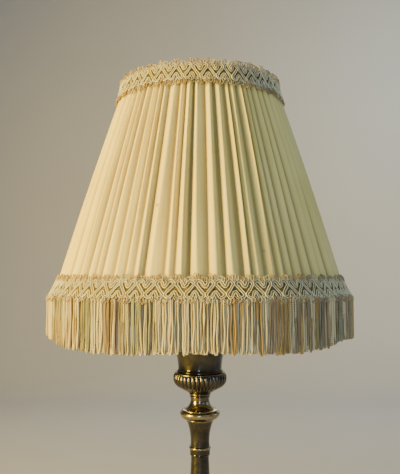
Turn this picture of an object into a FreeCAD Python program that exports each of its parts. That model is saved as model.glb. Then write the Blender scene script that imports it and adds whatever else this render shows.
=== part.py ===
import FreeCAD, Part

import math
import os

# Candlestick lamp: a turned brass column with a gadrooned candle cup, a harp that carries
# a pleated empire shade, and a fringe under the shade's lower braid.
# Millimetres. +Z is up, the origin is on the table under the middle of the foot,
# and the lamp is seen from -Y. Every height below is worked out from the pieces under it.

V = FreeCAD.Vector
UP = V(0, 0, 1)
PARTS_FOLDER = "parts"

# ---------------------------------------------------------------- counts
FOOT_LOBES = 48
BOWL_LOBES = 36

# ---------------------------------------------------------------- clearances
SLIP = 0.2  # a bore round the pipe or the stud, and a lid in its mouth
CLOTH_GAP = 0.15  # between two layers of cloth, or cloth and wire
THREAD_GAP = 0.15  # a screwed piece in its thread, both drawn as plain walls
WIRE_SLIT = 0.4  # the slits of the lining round the spider's arms

# ---------------------------------------------------------------- tie pipe
PIPE_R = 4.8
PIPE_BORE_R = 3.3
PIPE_TAIL = 2.0  # stands out under the nut
PIPE_LIFT = 8.0  # room for the lead to turn in under the pipe's end
NUT_AF = 14.0  # across the flats
NUT_H = 4.0
WASHER_R = 10.5
WASHER_T = 1.2

# ---------------------------------------------------------------- foot
PLATE_R = 65.0
PLATE_H = 13.0
PLATE_WALL = 5.0
PLATE_WEB = 4.0
PLATE_ROUND = 4.0  # quarter round on the plate's upper edge
FELT_R = PLATE_R - 2.0
FELT_T = 1.5
DOME_R = 47.5
DOME_LIP = 2.0
DOME_H = 27.0
DOME_WALL = 3.0
FOOT_RING_R = PLATE_R - PLATE_ROUND - 0.5  # over the lobes
FOOT_RING_H = 11.0
FOOT_RING_TOP_R = DOME_R + 2.5
FOOT_RING_HOLE_R = DOME_R - 4.5
FOOT_LOBE_DEPTH = 1.5
PLATE_HOLE_R = FOOT_RING_HOLE_R - 3.0
BALLAST_GAP = 1.0
BALLAST_PLUG_R = PLATE_HOLE_R - 4.0
BALLAST_PLUG_H = 12.0
FLEX_R = 3.5  # the mains lead that the inlet is made for
BUSH_WALL = 1.2
BUSH_LIP = 0.7
BUSH_FLANGE_T = 1.2
BUSH_FLANGE_R = FLEX_R + BUSH_WALL + BUSH_LIP
CHANNEL_SIDE = 1.0  # the ballast's slot is this much wider than the lead, each side

# ---------------------------------------------------------------- column
SHAFT_H = 119.0
SHAFT_FOOT_R = 15.6
SHAFT_WAIST_R = 10.3
SHAFT_WAIST_DROP = 26.0  # from the shaft's top down to where its taper starts
SHAFT_TOP_R = 9.05
COLLAR_R = SHAFT_FOOT_R + 3.9
COLLAR_H = 8.0
DOME_TOP_R = COLLAR_R - 3.0
NECK_H = 26.9
NECK_R = 9.5
NECK_RING_R = 14.5
NECK_RING_H = 1.1
ASTRAGAL_H = 9.4
ASTRAGAL_FILLET_R = NECK_R + 0.6
ASTRAGAL_BEAD_R = NECK_R + 1.2
KNOP_H = 8.4
KNOP_R = 20.3
KNOP_SEAT_R = NECK_RING_R + 0.4
URN_STEM_H = 18.2
URN_SKIRT_R = 18.5
URN_WAIST_R = 9.4
URN_TOP_R = 11.6
URN_BEAD_R = 0.8
KNOP_TOP_R = URN_SKIRT_R + 0.2

# ---------------------------------------------------------------- bowl and candle cup
BOWL_H = 18.9
BOWL_R = 27.2
BOWL_SEAT_R = URN_TOP_R + 0.9
BOWL_RIM_R = BOWL_R - 1.3
BOWL_WALL = 3.2
BOWL_LOBE_DEPTH = 1.15
CUP_H = 23.7
CUP_FOOT_R = 23.6
CUP_COVE_H = 2.9  # from the cup's foot up to where its wall starts
CUP_WALL_R = CUP_FOOT_R - 1.4  # outside, just over that cove
CUP_FLARE = 3.8  # how far the wall leans out by the rim
CUP_HOLLOW = 0.8  # how far the wall lies inside a straight one, half way up
CUP_RIM_R = CUP_WALL_R + CUP_FLARE + 1.6
CUP_WALL = 1.8
CUP_FLOOR = 2.0
SHOULDER_H = 2.2
SHOULDER_TOP_R = CUP_FOOT_R - 0.4
SHOULDER_STEP_R = SHOULDER_TOP_R + 1.2
SHOULDER_HOLE_R = SHOULDER_TOP_R - 7.0
LID_T = 1.5
LID_SPIGOT = 3.0
LID_LAND = 1.2  # how far the lid's edge stays inside the rim's roll

# ---------------------------------------------------------------- lampholder
CAP_HUB_R = 7.6
CAP_HUB_H = 8.0
CAP_FLARE_H = 5.5
CAP_SKIRT_H = 7.0
CAP_R = 17.0
SET_SCREW_R = 1.5
SET_SCREW_OUT = 0.8  # stands out of the hub
BRASS_T = 0.8  # sheet thickness of the cap and shell
SHELL_H = 40.0
SHELL_MOUTH_R = 15.2
SHELL_LIP_H = 1.5
SLEEVE_T = 0.7
HOLDER_BASE_H = 22.0
HOLDER_BASE_LIFT = 1.5  # over the cap's inside floor
SCREW_SHELL_T = 0.45
SCREW_SHELL_H = 16.5
SOCKET_CONTACT_R = 3.0
SOCKET_CONTACT_T = 1.4
TERMINAL_HEAD_R = 2.6
TERMINAL_HEAD_H = 1.8
TERMINAL_SHANK_R = 1.4
TERMINAL_SHANK = 5.0
TERMINAL_Z = 4.5  # over the bottom of the holder's base
KEY_Z = 12.0  # spindle's height over the bottom of the holder's base
SPINDLE_R = 1.5
SPINDLE_DEPTH = 8.5  # from the base's side inwards
SPINDLE_OUT = 4.0  # out of the shell
SPINDLE_GRIP = 3.5  # inside the key
KEY_L = 15.0
KEY_W = 13.0
KEY_T = 3.2
KEY_HUB_R = 3.0
KEY_HUB_L = 3.0

# ---------------------------------------------------------------- bulb
BULB_CAP_R = 13.1
BULB_CAP_H = 22.0
BULB_THREAD_PITCH = 3.6
BULB_THREAD_TURNS = 5
BULB_THREAD_START = 3.0
BULB_THREAD_DEPTH = 0.9
BULB_TIP_R = 4.5
BULB_TIP_H = 1.6
BULB_NECK_R = 13.4
BULB_R = 30.0
BULB_GLASS_H = 86.0
BULB_SHOULDER_H = 34.0  # where the neck has opened into the globe
BULB_GLASS_T = 0.9
MOUNT_STEM_R = 3.2
MOUNT_STEM_H = 34.0
MOUNT_FLARE_H = 12.0  # the height of the stem's spreading foot
LEAD_WIRE_R = 0.45
LEAD_WIRE_H = 18.0
LEAD_SPREAD = 9.0
FILAMENT_R = 0.7

# ---------------------------------------------------------------- harp
SADDLE_T = 1.2
SADDLE_W = 13.0
SADDLE_TAB_W = 4.6
SADDLE_TAB_H = 13.0
HARP_H = 254.0  # from under the saddle to the shade's seat
HARP_WIRE_R = 1.6
HARP_LEG_X = 28.4
HARP_LEG_H = 42.0  # the straight stretch, to the first bend's corner
HARP_BELLY_X = 61.0
HARP_BELLY_LOW = 70.0  # heights of the belly's two corners
HARP_BELLY_HIGH = 150.0
HARP_CROWN_X = 30.0
HARP_CROWN_DROP = 18.0  # the crown's corner under the wire's top run
HARP_SHOULDER = 5.0  # the wire's last corner lies this far outside the seat
HARP_BENDS = (22.0, 34.0, 60.0, 26.0, 12.0)  # radii from the leg up
SLEEVE_BORE_R = 3.3
FERRULE_WALL = 0.8
FERRULE_H = 12.0
SEAT_R = 7.0
SEAT_H = 6.5
STUD_R = 3.1
STUD_H = 12.0

# ---------------------------------------------------------------- shade
RING_SPACING = 216.0  # between the planes of the two rings
COVER_TOP_R = 78.9  # over the folds, in the plane of the upper ring
COVER_BOTTOM_R = 146.6  # over the folds, in the plane of the lower ring
RING_WIRE_R = 1.5
STRUT_R = 1.1
STRUTS = 8
SPIDER_DROP = 11.8  # from the arms up to the upper ring
SPIDER_ARMS = 3
SPIDER_WIRE_R = 1.4
SPIDER_WASHER_R = 12.0
SPIDER_WASHER_T = 1.5
SPIDER_BEND_IN = 12.0  # how far inside the ring an arm starts to climb
SPIDER_BEND_R = 9.0
LINING_T = 0.8
# Widths of the folds that face the viewer, round the cover's lower edge, from the left.
FRONT_FOLDS = (
    *(9.5, 18.9, 14.0, 11.1, 8.9, 14.7, 11.8, 9.1, 10.7, 17.9, 9.7, 12.6),
    *(17.2, 14.3, 16.1, 7.9, 13.8, 11.6, 8.8, 9.5, 13.1, 14.0, 12.0, 18.0),
)
FRONT_START_DEG = 62.0  # the first of them starts this far to the left of the middle
BACK_FOLDS = 45
FOLD_DEPTH = 2.6
FOLD_RISE = 0.36  # share of a fold's width on its steeper side, the left one
FOLD_UNEVEN = (0.30, 0.18)  # how much the widths of the other folds vary
FOLD_SWELL = 0.35  # outward bow of a fold's long side
CLOTH_T = 0.9
BRAID_W = 22.5  # along the slope
TOP_BRAID_LOW = 1.4  # thickness at the upper braid's two edges
TOP_BRAID_HIGH = 3.4
LOW_BRAID_HIGH = 1.1  # thickness of the lower braid's upper edge
LOW_BRAID_LOW = 2.0
HEADING_H = 12.0
HEADING_T = 2.9  # at its lower edge, where the strands are sewn in
FRINGE_DROP = 39.5
FRINGE_T = 3.6

# ---------------------------------------------------------------- finial
FINIAL_H = 27.0
FINIAL_FOOT_R = 6.6
FINIAL_WAIST_R = 4.9
FINIAL_BALL_R = 8.6
FINIAL_TIP_R = 2.0
FINIAL_FOOT_H = 12.6
FINIAL_BELL_H = 9.5  # where the bell over the foot ends
INSERT_WALL = 1.0
INSERT_H = 11.4


# ================================================================ helpers
class Outline:
    """A closed outline in the (radius, height) half plane, drawn edge by edge."""

    def __init__(self, radius, height):
        self.first = self.here = V(radius, 0, height)
        self.edges = []

    def line(self, radius, height):
        there = V(radius, 0, height)
        if self.here.distanceToPoint(there) > 1e-6:
            self.edges.append(Part.LineSegment(self.here, there).toShape())
            self.here = there
        return self

    def arc(self, mid_radius, mid_height, radius, height):
        there = V(radius, 0, height)
        middle = V(mid_radius, 0, mid_height)
        self.edges.append(Part.Arc(self.here, middle, there).toShape())
        self.here = there
        return self

    def bead(self, radius, height, bulge):
        """A half-round moulding from here to there that stands out by bulge."""
        mid_radius = (self.here.x + radius) / 2 + bulge
        return self.arc(mid_radius, (self.here.z + height) / 2, radius, height)

    def turned(self):
        self.line(self.first.x, self.first.z)
        face = Part.Face(Part.Wire(self.edges))
        return face.revolve(V(0, 0, 0), UP, 360)


def rod(radius, low, high, x=0.0, y=0.0):
    return Part.makeCylinder(radius, high - low, V(x, y, low), UP)


def tube(outer, inner, low, high, x=0.0, y=0.0):
    return rod(outer, low, high, x, y).cut(rod(inner, low, high, x, y))


def hexagon(across_flats, low, high):
    corner_r = across_flats / 2 / math.cos(math.pi / 6)
    corners = []
    for k in range(7):
        a = math.radians(60 * k)
        corners.append(V(corner_r * math.cos(a), corner_r * math.sin(a), low))
    return Part.Face(Part.makePolygon(corners)).extrude(V(0, 0, high - low))


def bored(shape, radius=PIPE_R + SLIP):
    """The shape with a clear hole for the pipe right through it."""
    box = shape.BoundBox
    return shape.cut(rod(radius, box.ZMin - 1, box.ZMax + 1))


def rounded_path(points, radii):
    """Straight runs through points, joined by tangent arcs of the given radii."""
    edges = []
    here = points[0]
    for corner, after, radius in zip(points[1:-1], points[2:], radii):
        back = (here - corner).normalize()
        ahead = (after - corner).normalize()
        half_turn = (math.pi - back.getAngle(ahead)) / 2
        reach = radius * math.tan(half_turn)
        start = corner + back * reach
        end = corner + ahead * reach
        bisector = (back + ahead).normalize()
        middle = corner + bisector * (radius / math.cos(half_turn) - radius)
        edges.append(Part.LineSegment(here, start).toShape())
        edges.append(Part.Arc(start, middle, end).toShape())
        here = end
    edges.append(Part.LineSegment(here, points[-1]).toShape())
    return Part.Wire(edges)


def wire_along(path, radius):
    """A round wire of the given radius along a path, as one solid."""
    first = path.Edges[0]
    start = first.valueAt(first.FirstParameter)
    direction = first.tangentAt(first.FirstParameter)
    section = Part.Wire(Part.makeCircle(radius, start, direction))
    return path.makePipeShell([section], True, False)


def scalloped_wire(crest_r, depth, lobes, height):
    """A closed ring of outward lobes at one height."""
    edges = []
    step = 2 * math.pi / lobes
    for k in range(lobes):
        ends = [
            V((crest_r - depth) * math.cos(a), (crest_r - depth) * math.sin(a), height)
            for a in (k * step, (k + 1) * step)
        ]
        a = (k + 0.5) * step
        crest = V(crest_r * math.cos(a), crest_r * math.sin(a), height)
        edges.append(Part.Arc(ends[0], crest, ends[1]).toShape())
    return Part.Wire(edges)


def group(solids):
    """Several separate solids as one named piece."""
    return Part.makeCompound([s for piece in solids for s in piece.Solids])


def turned_copies(shape, count):
    """Copies of a shape, evenly spaced round the lamp's axis."""
    copies = []
    for k in range(count):
        copy = shape.copy()
        copy.rotate(V(0, 0, 0), UP, 360.0 * k / count)
        copies.append(copy)
    return copies


# ================================================================ heights of the stack
PLATE_Z = FELT_T
FOOT_RING_Z = PLATE_Z + PLATE_H
DOME_Z = FOOT_RING_Z + FOOT_RING_H
COLLAR_Z = DOME_Z + DOME_H
SHAFT_Z = COLLAR_Z + COLLAR_H
ASTRAGAL_Z = SHAFT_Z + SHAFT_H
NECK_Z = ASTRAGAL_Z + ASTRAGAL_H
KNOP_Z = NECK_Z + NECK_H
URN_STEM_Z = KNOP_Z + KNOP_H
BOWL_Z = URN_STEM_Z + URN_STEM_H
SHOULDER_Z = BOWL_Z + BOWL_H
CUP_Z = SHOULDER_Z + SHOULDER_H
LID_Z = CUP_Z + CUP_H
SADDLE_Z = LID_Z + LID_T
HOLDER_Z = SADDLE_Z + SADDLE_T

BALLAST_TOP_Z = FOOT_RING_Z - PLATE_WEB  # the ballast's flange is drawn up to the web
BALLAST_Z = PLATE_Z + 1.5
PIPE_Z = PLATE_Z + PIPE_LIFT
BOTTOM_NUT_Z = PIPE_Z + PIPE_TAIL
BOTTOM_WASHER_Z = BOTTOM_NUT_Z + NUT_H
NUT_RECESS_Z = BOTTOM_WASHER_Z + WASHER_T
PIPE_TOP_Z = HOLDER_Z + CAP_HUB_H - 1.0
INLET_Z = PLATE_Z + BUSH_FLANGE_R + 0.4  # the bush's flange just clears the felt


# ================================================================ foot
def felt_pad():
    return rod(FELT_R, 0, FELT_T)


def inlet_hole(radius):
    """A level hole through the back of the plate's wall, where the lead comes in."""
    start = V(0, PLATE_R - PLATE_WALL - 1.0, INLET_Z)
    return Part.makeCylinder(radius, PLATE_WALL + 2.0, start, V(0, 1, 0))


def foot_plate():
    top = FOOT_RING_Z
    wall_in = PLATE_R - PLATE_WALL
    round_mid = PLATE_ROUND * (1 - math.sqrt(0.5))
    body = (
        Outline(wall_in, PLATE_Z)
        .line(PLATE_R, PLATE_Z)
        .line(PLATE_R, top - PLATE_ROUND)
        .arc(PLATE_R - round_mid, top - round_mid, PLATE_R - PLATE_ROUND, top)
        .line(PLATE_HOLE_R, top)
        .line(PLATE_HOLE_R, top - PLATE_WEB)
        .line(wall_in, top - PLATE_WEB)
        .turned()
    )
    return body.cut(inlet_hole(FLEX_R + BUSH_WALL + SLIP))


def cord_bush():
    """Flanged bush that lines the inlet, with nothing drawn through it."""
    wall_out = PLATE_R - flat_sink()
    start = V(0, PLATE_R - PLATE_WALL, INLET_Z)
    out = V(0, 1, 0)
    barrel = Part.makeCylinder(FLEX_R + BUSH_WALL, PLATE_WALL, start, out)
    flange = Part.makeCylinder(BUSH_FLANGE_R, BUSH_FLANGE_T, V(0, wall_out, INLET_Z), out)
    flange = flange.cut(rod(PLATE_R + 0.02, 0, COLLAR_Z))
    bore = Part.makeCylinder(FLEX_R, PLATE_WALL + 4, start - out, out)
    return barrel.fuse(flange).removeSplitter().cut(bore)


def flat_sink():
    """How far a flange's rim lies behind the round wall's foremost line."""
    return PLATE_R - math.sqrt(PLATE_R**2 - BUSH_FLANGE_R**2)


def ballast():
    """Cast iron weight: a flange under the plate's web, and a plug up through its hole."""
    flange_r = PLATE_R - PLATE_WALL - BALLAST_GAP
    weight = (
        Outline(0, BALLAST_Z)
        .line(flange_r, BALLAST_Z)
        .line(flange_r, BALLAST_TOP_Z)
        .line(BALLAST_PLUG_R, BALLAST_TOP_Z)
        .line(BALLAST_PLUG_R, BALLAST_TOP_Z + BALLAST_PLUG_H)
        .line(0, BALLAST_TOP_Z + BALLAST_PLUG_H)
        .turned()
    )
    recess = rod(WASHER_R + 1.0, BALLAST_Z - 1, NUT_RECESS_Z)
    half = FLEX_R + CHANNEL_SIDE
    slot_h = INLET_Z + half - BALLAST_Z
    slot = Part.makeBox(2 * half, PLATE_R, slot_h + 1, V(-half, 0, BALLAST_Z - 1))
    return bored(weight.cut(recess).cut(slot))


def bottom_washer():
    return tube(WASHER_R, PIPE_R + SLIP, BOTTOM_WASHER_Z, NUT_RECESS_Z)


def pipe_nut(low):
    """Hexagon nut on the tie pipe, standing on a height."""
    high = low + NUT_H
    return hexagon(NUT_AF, low, high).cut(rod(PIPE_R, low - 1, high + 1))


def bottom_nut():
    return pipe_nut(BOTTOM_NUT_Z)


def tie_pipe():
    return tube(PIPE_R, PIPE_BORE_R, PIPE_Z, PIPE_TOP_Z)


def foot_gadroon_ring():
    """Lobed quarter-round moulding between the plate and the dome."""
    stations = (  # share of the height, share of the way in, share of the lobes' depth
        (0.0, 0.12, 0.6),
        (0.25, 0.0, 1.0),
        (0.5, 0.06, 1.0),
        (0.75, 0.32, 0.9),
        (0.92, 0.68, 0.6),
        (1.0, 1.0, 0.35),
    )
    rings = []
    for up, inward, lobe in stations:
        crest = FOOT_RING_R - inward * (FOOT_RING_R - FOOT_RING_TOP_R)
        height = FOOT_RING_Z + up * FOOT_RING_H
        rings.append(scalloped_wire(crest, lobe * FOOT_LOBE_DEPTH, FOOT_LOBES, height))
    return bored(Part.makeLoft(rings, True, True), FOOT_RING_HOLE_R)


def foot_dome():
    top = COLLAR_Z
    sweep_z = DOME_Z + DOME_LIP + 1.5
    web_z = top - DOME_WALL - 1.0
    sweep_h = top - DOME_LIP - sweep_z
    body = (
        Outline(0, DOME_Z)
        .line(DOME_R, DOME_Z)
        .bead(DOME_R, DOME_Z + DOME_LIP, 0.7)
        .line(DOME_R - 2.0, sweep_z)
        .arc(
            DOME_TOP_R + 0.24 * (DOME_R - DOME_TOP_R),
            sweep_z + 0.36 * sweep_h,
            DOME_TOP_R,
            top - DOME_LIP,
        )
        .line(DOME_TOP_R, top)
        .line(0, top)
        .turned()
    )
    hollow = (
        Outline(0, DOME_Z - 1)
        .line(DOME_R - DOME_WALL - 1.5, DOME_Z - 1)
        .line(DOME_R - DOME_WALL - 1.5, DOME_Z + 0.5)
        .arc(
            DOME_TOP_R + 0.24 * (DOME_R - DOME_TOP_R) - DOME_WALL,
            sweep_z + 0.36 * sweep_h - DOME_WALL,
            DOME_TOP_R - DOME_WALL - 1.0,
            web_z,
        )
        .line(0, web_z)
        .turned()
    )
    return bored(body.cut(hollow))


# ================================================================ column
def base_collar():
    fillet = 1.2
    body = (
        Outline(0, COLLAR_Z)
        .line(COLLAR_R - fillet - 1.0, COLLAR_Z)
        .line(COLLAR_R - fillet - 1.0, COLLAR_Z + fillet)
        .arc(
            COLLAR_R,
            COLLAR_Z + COLLAR_H / 2,
            COLLAR_R - fillet - 1.0,
            COLLAR_Z + COLLAR_H - fillet,
        )
        .line(SHAFT_FOOT_R + 0.8, COLLAR_Z + COLLAR_H - fillet)
        .line(SHAFT_FOOT_R + 0.8, COLLAR_Z + COLLAR_H)
        .line(0, COLLAR_Z + COLLAR_H)
        .turned()
    )
    return bored(body)


def column_shaft():
    top = ASTRAGAL_Z
    apophyge = 3.0  # the small curved spread at the shaft's foot
    waist_z = top - SHAFT_WAIST_DROP
    taper = (SHAFT_FOOT_R - 1.2 - SHAFT_WAIST_R) / (waist_z - SHAFT_Z - apophyge)
    bow = (SHAFT_TOP_R + SHAFT_WAIST_R) / 2 - taper * SHAFT_WAIST_DROP / 6
    body = (
        Outline(0, SHAFT_Z)
        .line(SHAFT_FOOT_R, SHAFT_Z)
        .line(SHAFT_FOOT_R, SHAFT_Z + 1.0)
        .arc(
            SHAFT_FOOT_R - 0.95,
            SHAFT_Z + 1.0 + 0.7,
            SHAFT_FOOT_R - 1.2,
            SHAFT_Z + apophyge,
        )
        .line(SHAFT_WAIST_R, waist_z)
        .arc(bow, (top + waist_z) / 2, SHAFT_TOP_R, top)
        .line(0, top)
        .turned()
    )
    return bored(body)


def astragal_ring():
    low = ASTRAGAL_Z
    high = NECK_Z
    body = (
        Outline(0, low)
        .line(SHAFT_TOP_R + 0.25, low)
        .bead(ASTRAGAL_FILLET_R - 0.15, low + 1.9, 0.45)
        .line(ASTRAGAL_FILLET_R, low + 2.1)
        .line(ASTRAGAL_FILLET_R + 0.25, high - 3.0)
        .bead(NECK_R + 0.35, high - 0.4, ASTRAGAL_BEAD_R - ASTRAGAL_FILLET_R + 0.35)
        .line(NECK_R + 0.35, high)
        .line(0, high)
        .turned()
    )
    return bored(body)


def column_neck():
    low = NECK_Z
    high = KNOP_Z
    flare_z = high - NECK_RING_H
    body = (
        Outline(0, low)
        .line(NECK_R + 0.15, low)
        .line(NECK_R, low + 5.0)
        .arc(NECK_R + 0.9, low + 14.1, NECK_RING_R - 0.6, flare_z)
        .bead(NECK_RING_R - 0.5, high, 0.5)
        .line(0, high)
        .turned()
    )
    return bored(body)


def knop():
    low = KNOP_Z
    high = URN_STEM_Z
    belly_z = low + 0.66 * KNOP_H
    body = (
        Outline(0, low)
        .line(KNOP_SEAT_R, low)
        .line(KNOP_SEAT_R + 1.4, low + 0.4)
        .arc(KNOP_R - 1.1, low + 2.6, KNOP_R, belly_z)
        .arc(KNOP_R - 0.3, high - 1.6, KNOP_TOP_R, high - 0.4)
        .line(KNOP_TOP_R - 0.9, high)
        .line(0, high)
        .turned()
    )
    return bored(body)


def urn_stem():
    """Waisted stem under the bowl, with a skirt at its foot and two fine beads."""
    low = URN_STEM_Z
    high = BOWL_Z
    waist_z = low + 10.2
    bead_h = 2 * URN_BEAD_R
    lower_bead_z = high - 5.2
    upper_bead_z = high - 2.7
    body = (
        Outline(0, low)
        .line(URN_SKIRT_R - 0.7, low)
        .bead(URN_SKIRT_R - 1.0, low + 1.1, 0.5)
        .arc(URN_WAIST_R + 2.8, low + 3.9, URN_WAIST_R, waist_z)
        .line(URN_WAIST_R + 0.1, lower_bead_z)
        .bead(URN_WAIST_R + 0.2, lower_bead_z + bead_h, URN_BEAD_R)
        .line(URN_WAIST_R + 0.7, upper_bead_z)
        .bead(URN_WAIST_R + 0.9, upper_bead_z + bead_h, URN_BEAD_R)
        .arc(URN_TOP_R - 0.9, high - 0.5, URN_TOP_R, high)
        .line(0, high)
        .turned()
    )
    return bored(body)


# ================================================================ bowl and candle cup
def gadroon_bowl():
    """Shallow bowl whose outside is all rounded lobes, narrow below and full at the rim."""
    stations = (  # share of the height, share of the way out, share of the lobes' depth
        (0.0, 0.0, 0.35),
        (0.1, 0.2, 0.55),
        (0.18, 0.41, 0.8),
        (0.32, 0.73, 0.95),
        (0.45, 0.89, 1.0),
        (0.59, 0.975, 1.0),
        (0.76, 1.0, 1.0),
        (0.905, 0.98, 0.9),
        (0.968, 0.95, 0.5),
        (1.0, 0.912, 0.2),
    )
    rings = []
    for up, out, lobe in stations:
        crest = BOWL_SEAT_R + out * (BOWL_R - BOWL_SEAT_R)
        height = BOWL_Z + up * BOWL_H
        rings.append(scalloped_wire(crest, lobe * BOWL_LOBE_DEPTH, BOWL_LOBES, height))
    outside = Part.makeLoft(rings, True, True)
    floor_z = BOWL_Z + BOWL_WALL
    hollow_r = BOWL_R - BOWL_WALL
    hollow = (
        Outline(0, floor_z)
        .line(BOWL_SEAT_R - 2.0, floor_z)
        .arc(hollow_r - 3.5, floor_z + 4.2, hollow_r, SHOULDER_Z + 1)
        .line(0, SHOULDER_Z + 1)
        .turned()
    )
    return bored(outside.cut(hollow))


def bowl_shoulder():
    """Turned ring that closes the bowl and carries the candle cup."""
    low = SHOULDER_Z
    high = CUP_Z
    body = (
        Outline(SHOULDER_HOLE_R, low)
        .line(BOWL_RIM_R, low)
        .arc(BOWL_RIM_R - 0.2, low + 0.7, SHOULDER_STEP_R + 0.5, low + 1.1)
        .line(SHOULDER_STEP_R, low + 1.2)
        .line(SHOULDER_TOP_R, low + 1.6)
        .line(SHOULDER_TOP_R, high)
        .line(SHOULDER_HOLE_R, high)
        .turned()
    )
    return body


def cup_wall_r(height):
    """Outside radius of the candle cup's wall, were it a straight cone."""
    return CUP_WALL_R + CUP_FLARE * (height - CUP_Z - CUP_COVE_H) / (CUP_H - CUP_COVE_H)


def candle_cup():
    low = CUP_Z
    high = LID_Z
    throat_z = high - 2.4
    mouth_r = cup_wall_r(throat_z) - CUP_WALL
    middle_z = (low + CUP_COVE_H + throat_z) / 2
    middle_r = cup_wall_r(middle_z) - CUP_HOLLOW
    body = (
        Outline(0, low)
        .line(CUP_FOOT_R - 0.4, low)
        .bead(CUP_FOOT_R - 0.3, low + 0.9, 0.4)
        .arc(CUP_WALL_R + 0.35, low + 1.6, CUP_WALL_R, low + CUP_COVE_H)
        .arc(middle_r, middle_z, cup_wall_r(throat_z), throat_z)
        .arc(CUP_RIM_R, high - 1.1, CUP_RIM_R - 0.9, high)
        .line(mouth_r, high)
        .line(mouth_r, high - LID_SPIGOT - 1.0)
        .arc(middle_r - CUP_WALL, middle_z, CUP_WALL_R - CUP_WALL, low + CUP_FLOOR)
        .line(0, low + CUP_FLOOR)
        .turned()
    )
    return bored(body)


def cup_nut():
    """Lock nut on the floor of the candle cup: it draws the whole column together."""
    return pipe_nut(CUP_Z + CUP_FLOOR)


def cup_lid():
    """Cap that closes the candle cup and carries the harp and the lampholder."""
    mouth_r = cup_wall_r(LID_Z - 2.4) - CUP_WALL
    spigot_r = mouth_r - SLIP
    edge_r = CUP_RIM_R - 0.9 - LID_LAND
    body = (
        Outline(0, LID_Z - LID_SPIGOT)
        .line(PIPE_R + 4.0, LID_Z - LID_SPIGOT)
        .line(PIPE_R + 4.0, LID_Z - 1.0)
        .line(spigot_r - 1.5, LID_Z - 1.0)
        .line(spigot_r - 1.5, LID_Z - LID_SPIGOT)
        .line(spigot_r, LID_Z - LID_SPIGOT)
        .line(spigot_r, LID_Z)
        .line(edge_r, LID_Z)
        .bead(edge_r - 0.4, SADDLE_Z, 0.3)
        .line(0, SADDLE_Z)
        .turned()
    )
    return bored(body)


# ================================================================ lampholder
CAP_FLOOR_Z = HOLDER_Z + CAP_HUB_H + BRASS_T
CAP_SKIRT_Z = HOLDER_Z + CAP_HUB_H + CAP_FLARE_H
CAP_TOP_Z = CAP_SKIRT_Z + CAP_SKIRT_H
SHELL_R = CAP_R - BRASS_T - CLOTH_GAP
SHELL_Z = CAP_SKIRT_Z + 1.0
SHELL_TOP_Z = SHELL_Z + SHELL_H
SLEEVE_R = SHELL_R - BRASS_T - CLOTH_GAP
HOLDER_BASE_R = SLEEVE_R - SLEEVE_T - CLOTH_GAP
HOLDER_BASE_Z = CAP_SKIRT_Z + HOLDER_BASE_LIFT
HOLDER_FACE_Z = HOLDER_BASE_Z + HOLDER_BASE_H
SCREW_SHELL_R = BULB_CAP_R + THREAD_GAP
KEY_AXIS_Z = HOLDER_BASE_Z + KEY_Z
TERMINALS_Z = HOLDER_BASE_Z + TERMINAL_Z
SET_SCREW_Z = HOLDER_Z + CAP_HUB_H / 2
KEY_WAY = V(0, -1, 0)  # the key looks to the front, clear of the harp's legs


def key_bore(radius, start_y, length):
    return Part.makeCylinder(radius, length, V(0, -start_y, KEY_AXIS_Z), KEY_WAY)


def holder_cap():
    """Spun brass cap: a hub on the pipe, a flared bell and a short skirt."""
    inner_r = CAP_R - BRASS_T
    body = (
        Outline(PIPE_R + THREAD_GAP, HOLDER_Z)
        .line(CAP_HUB_R, HOLDER_Z)
        .line(CAP_HUB_R, HOLDER_Z + CAP_HUB_H)
        .arc(CAP_R - 2.2, CAP_SKIRT_Z - 3.2, CAP_R, CAP_SKIRT_Z)
        .line(CAP_R, CAP_TOP_Z)
        .line(inner_r, CAP_TOP_Z)
        .line(inner_r, CAP_SKIRT_Z)
        .arc(inner_r - 2.4, CAP_SKIRT_Z - 2.6, CAP_HUB_R, CAP_FLOOR_Z)
        .line(PIPE_R + THREAD_GAP, CAP_FLOOR_Z)
        .turned()
    )
    start = V(0, PIPE_R, SET_SCREW_Z)
    return body.cut(Part.makeCylinder(SET_SCREW_R, CAP_HUB_R, start, V(0, 1, 0)))


def cap_set_screw():
    """Slotted grub screw that keeps the lampholder's cap from turning on the pipe."""
    length = CAP_HUB_R + SET_SCREW_OUT - PIPE_R
    start = V(0, PIPE_R, SET_SCREW_Z)
    screw = Part.makeCylinder(SET_SCREW_R, length, start, V(0, 1, 0))
    slot_w = SET_SCREW_R / 3
    corner = V(-2 * SET_SCREW_R, PIPE_R + length - 0.7, SET_SCREW_Z - slot_w / 2)
    screw = screw.cut(Part.makeBox(4 * SET_SCREW_R, 2, slot_w, corner))
    return screw.cut(rod(PIPE_R + 0.02, HOLDER_Z, PIPE_TOP_Z))


def holder_shell():
    wall_in = SHELL_R - BRASS_T
    lip_z = SHELL_TOP_Z - SHELL_LIP_H
    body = (
        Outline(wall_in, SHELL_Z)
        .line(SHELL_R, SHELL_Z)
        .line(SHELL_R, lip_z)
        .line(SHELL_MOUTH_R, SHELL_TOP_Z)
        .line(SHELL_MOUTH_R - BRASS_T, SHELL_TOP_Z)
        .line(SHELL_MOUTH_R - BRASS_T, SHELL_TOP_Z - 0.6)
        .line(wall_in, lip_z - 0.6)
        .turned()
    )
    return body.cut(key_bore(SPINDLE_R + 2 * SLIP, wall_in - 2, 5))


def holder_sleeve():
    """Insulating sleeve between the shell and the holder's base."""
    top = SHELL_TOP_Z - SHELL_LIP_H - 1.0
    body = tube(SLEEVE_R, SLEEVE_R - SLEEVE_T, SHELL_Z, top)
    return body.cut(key_bore(SPINDLE_R + 2 * SLIP, SLEEVE_R - 3, 5))


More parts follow.
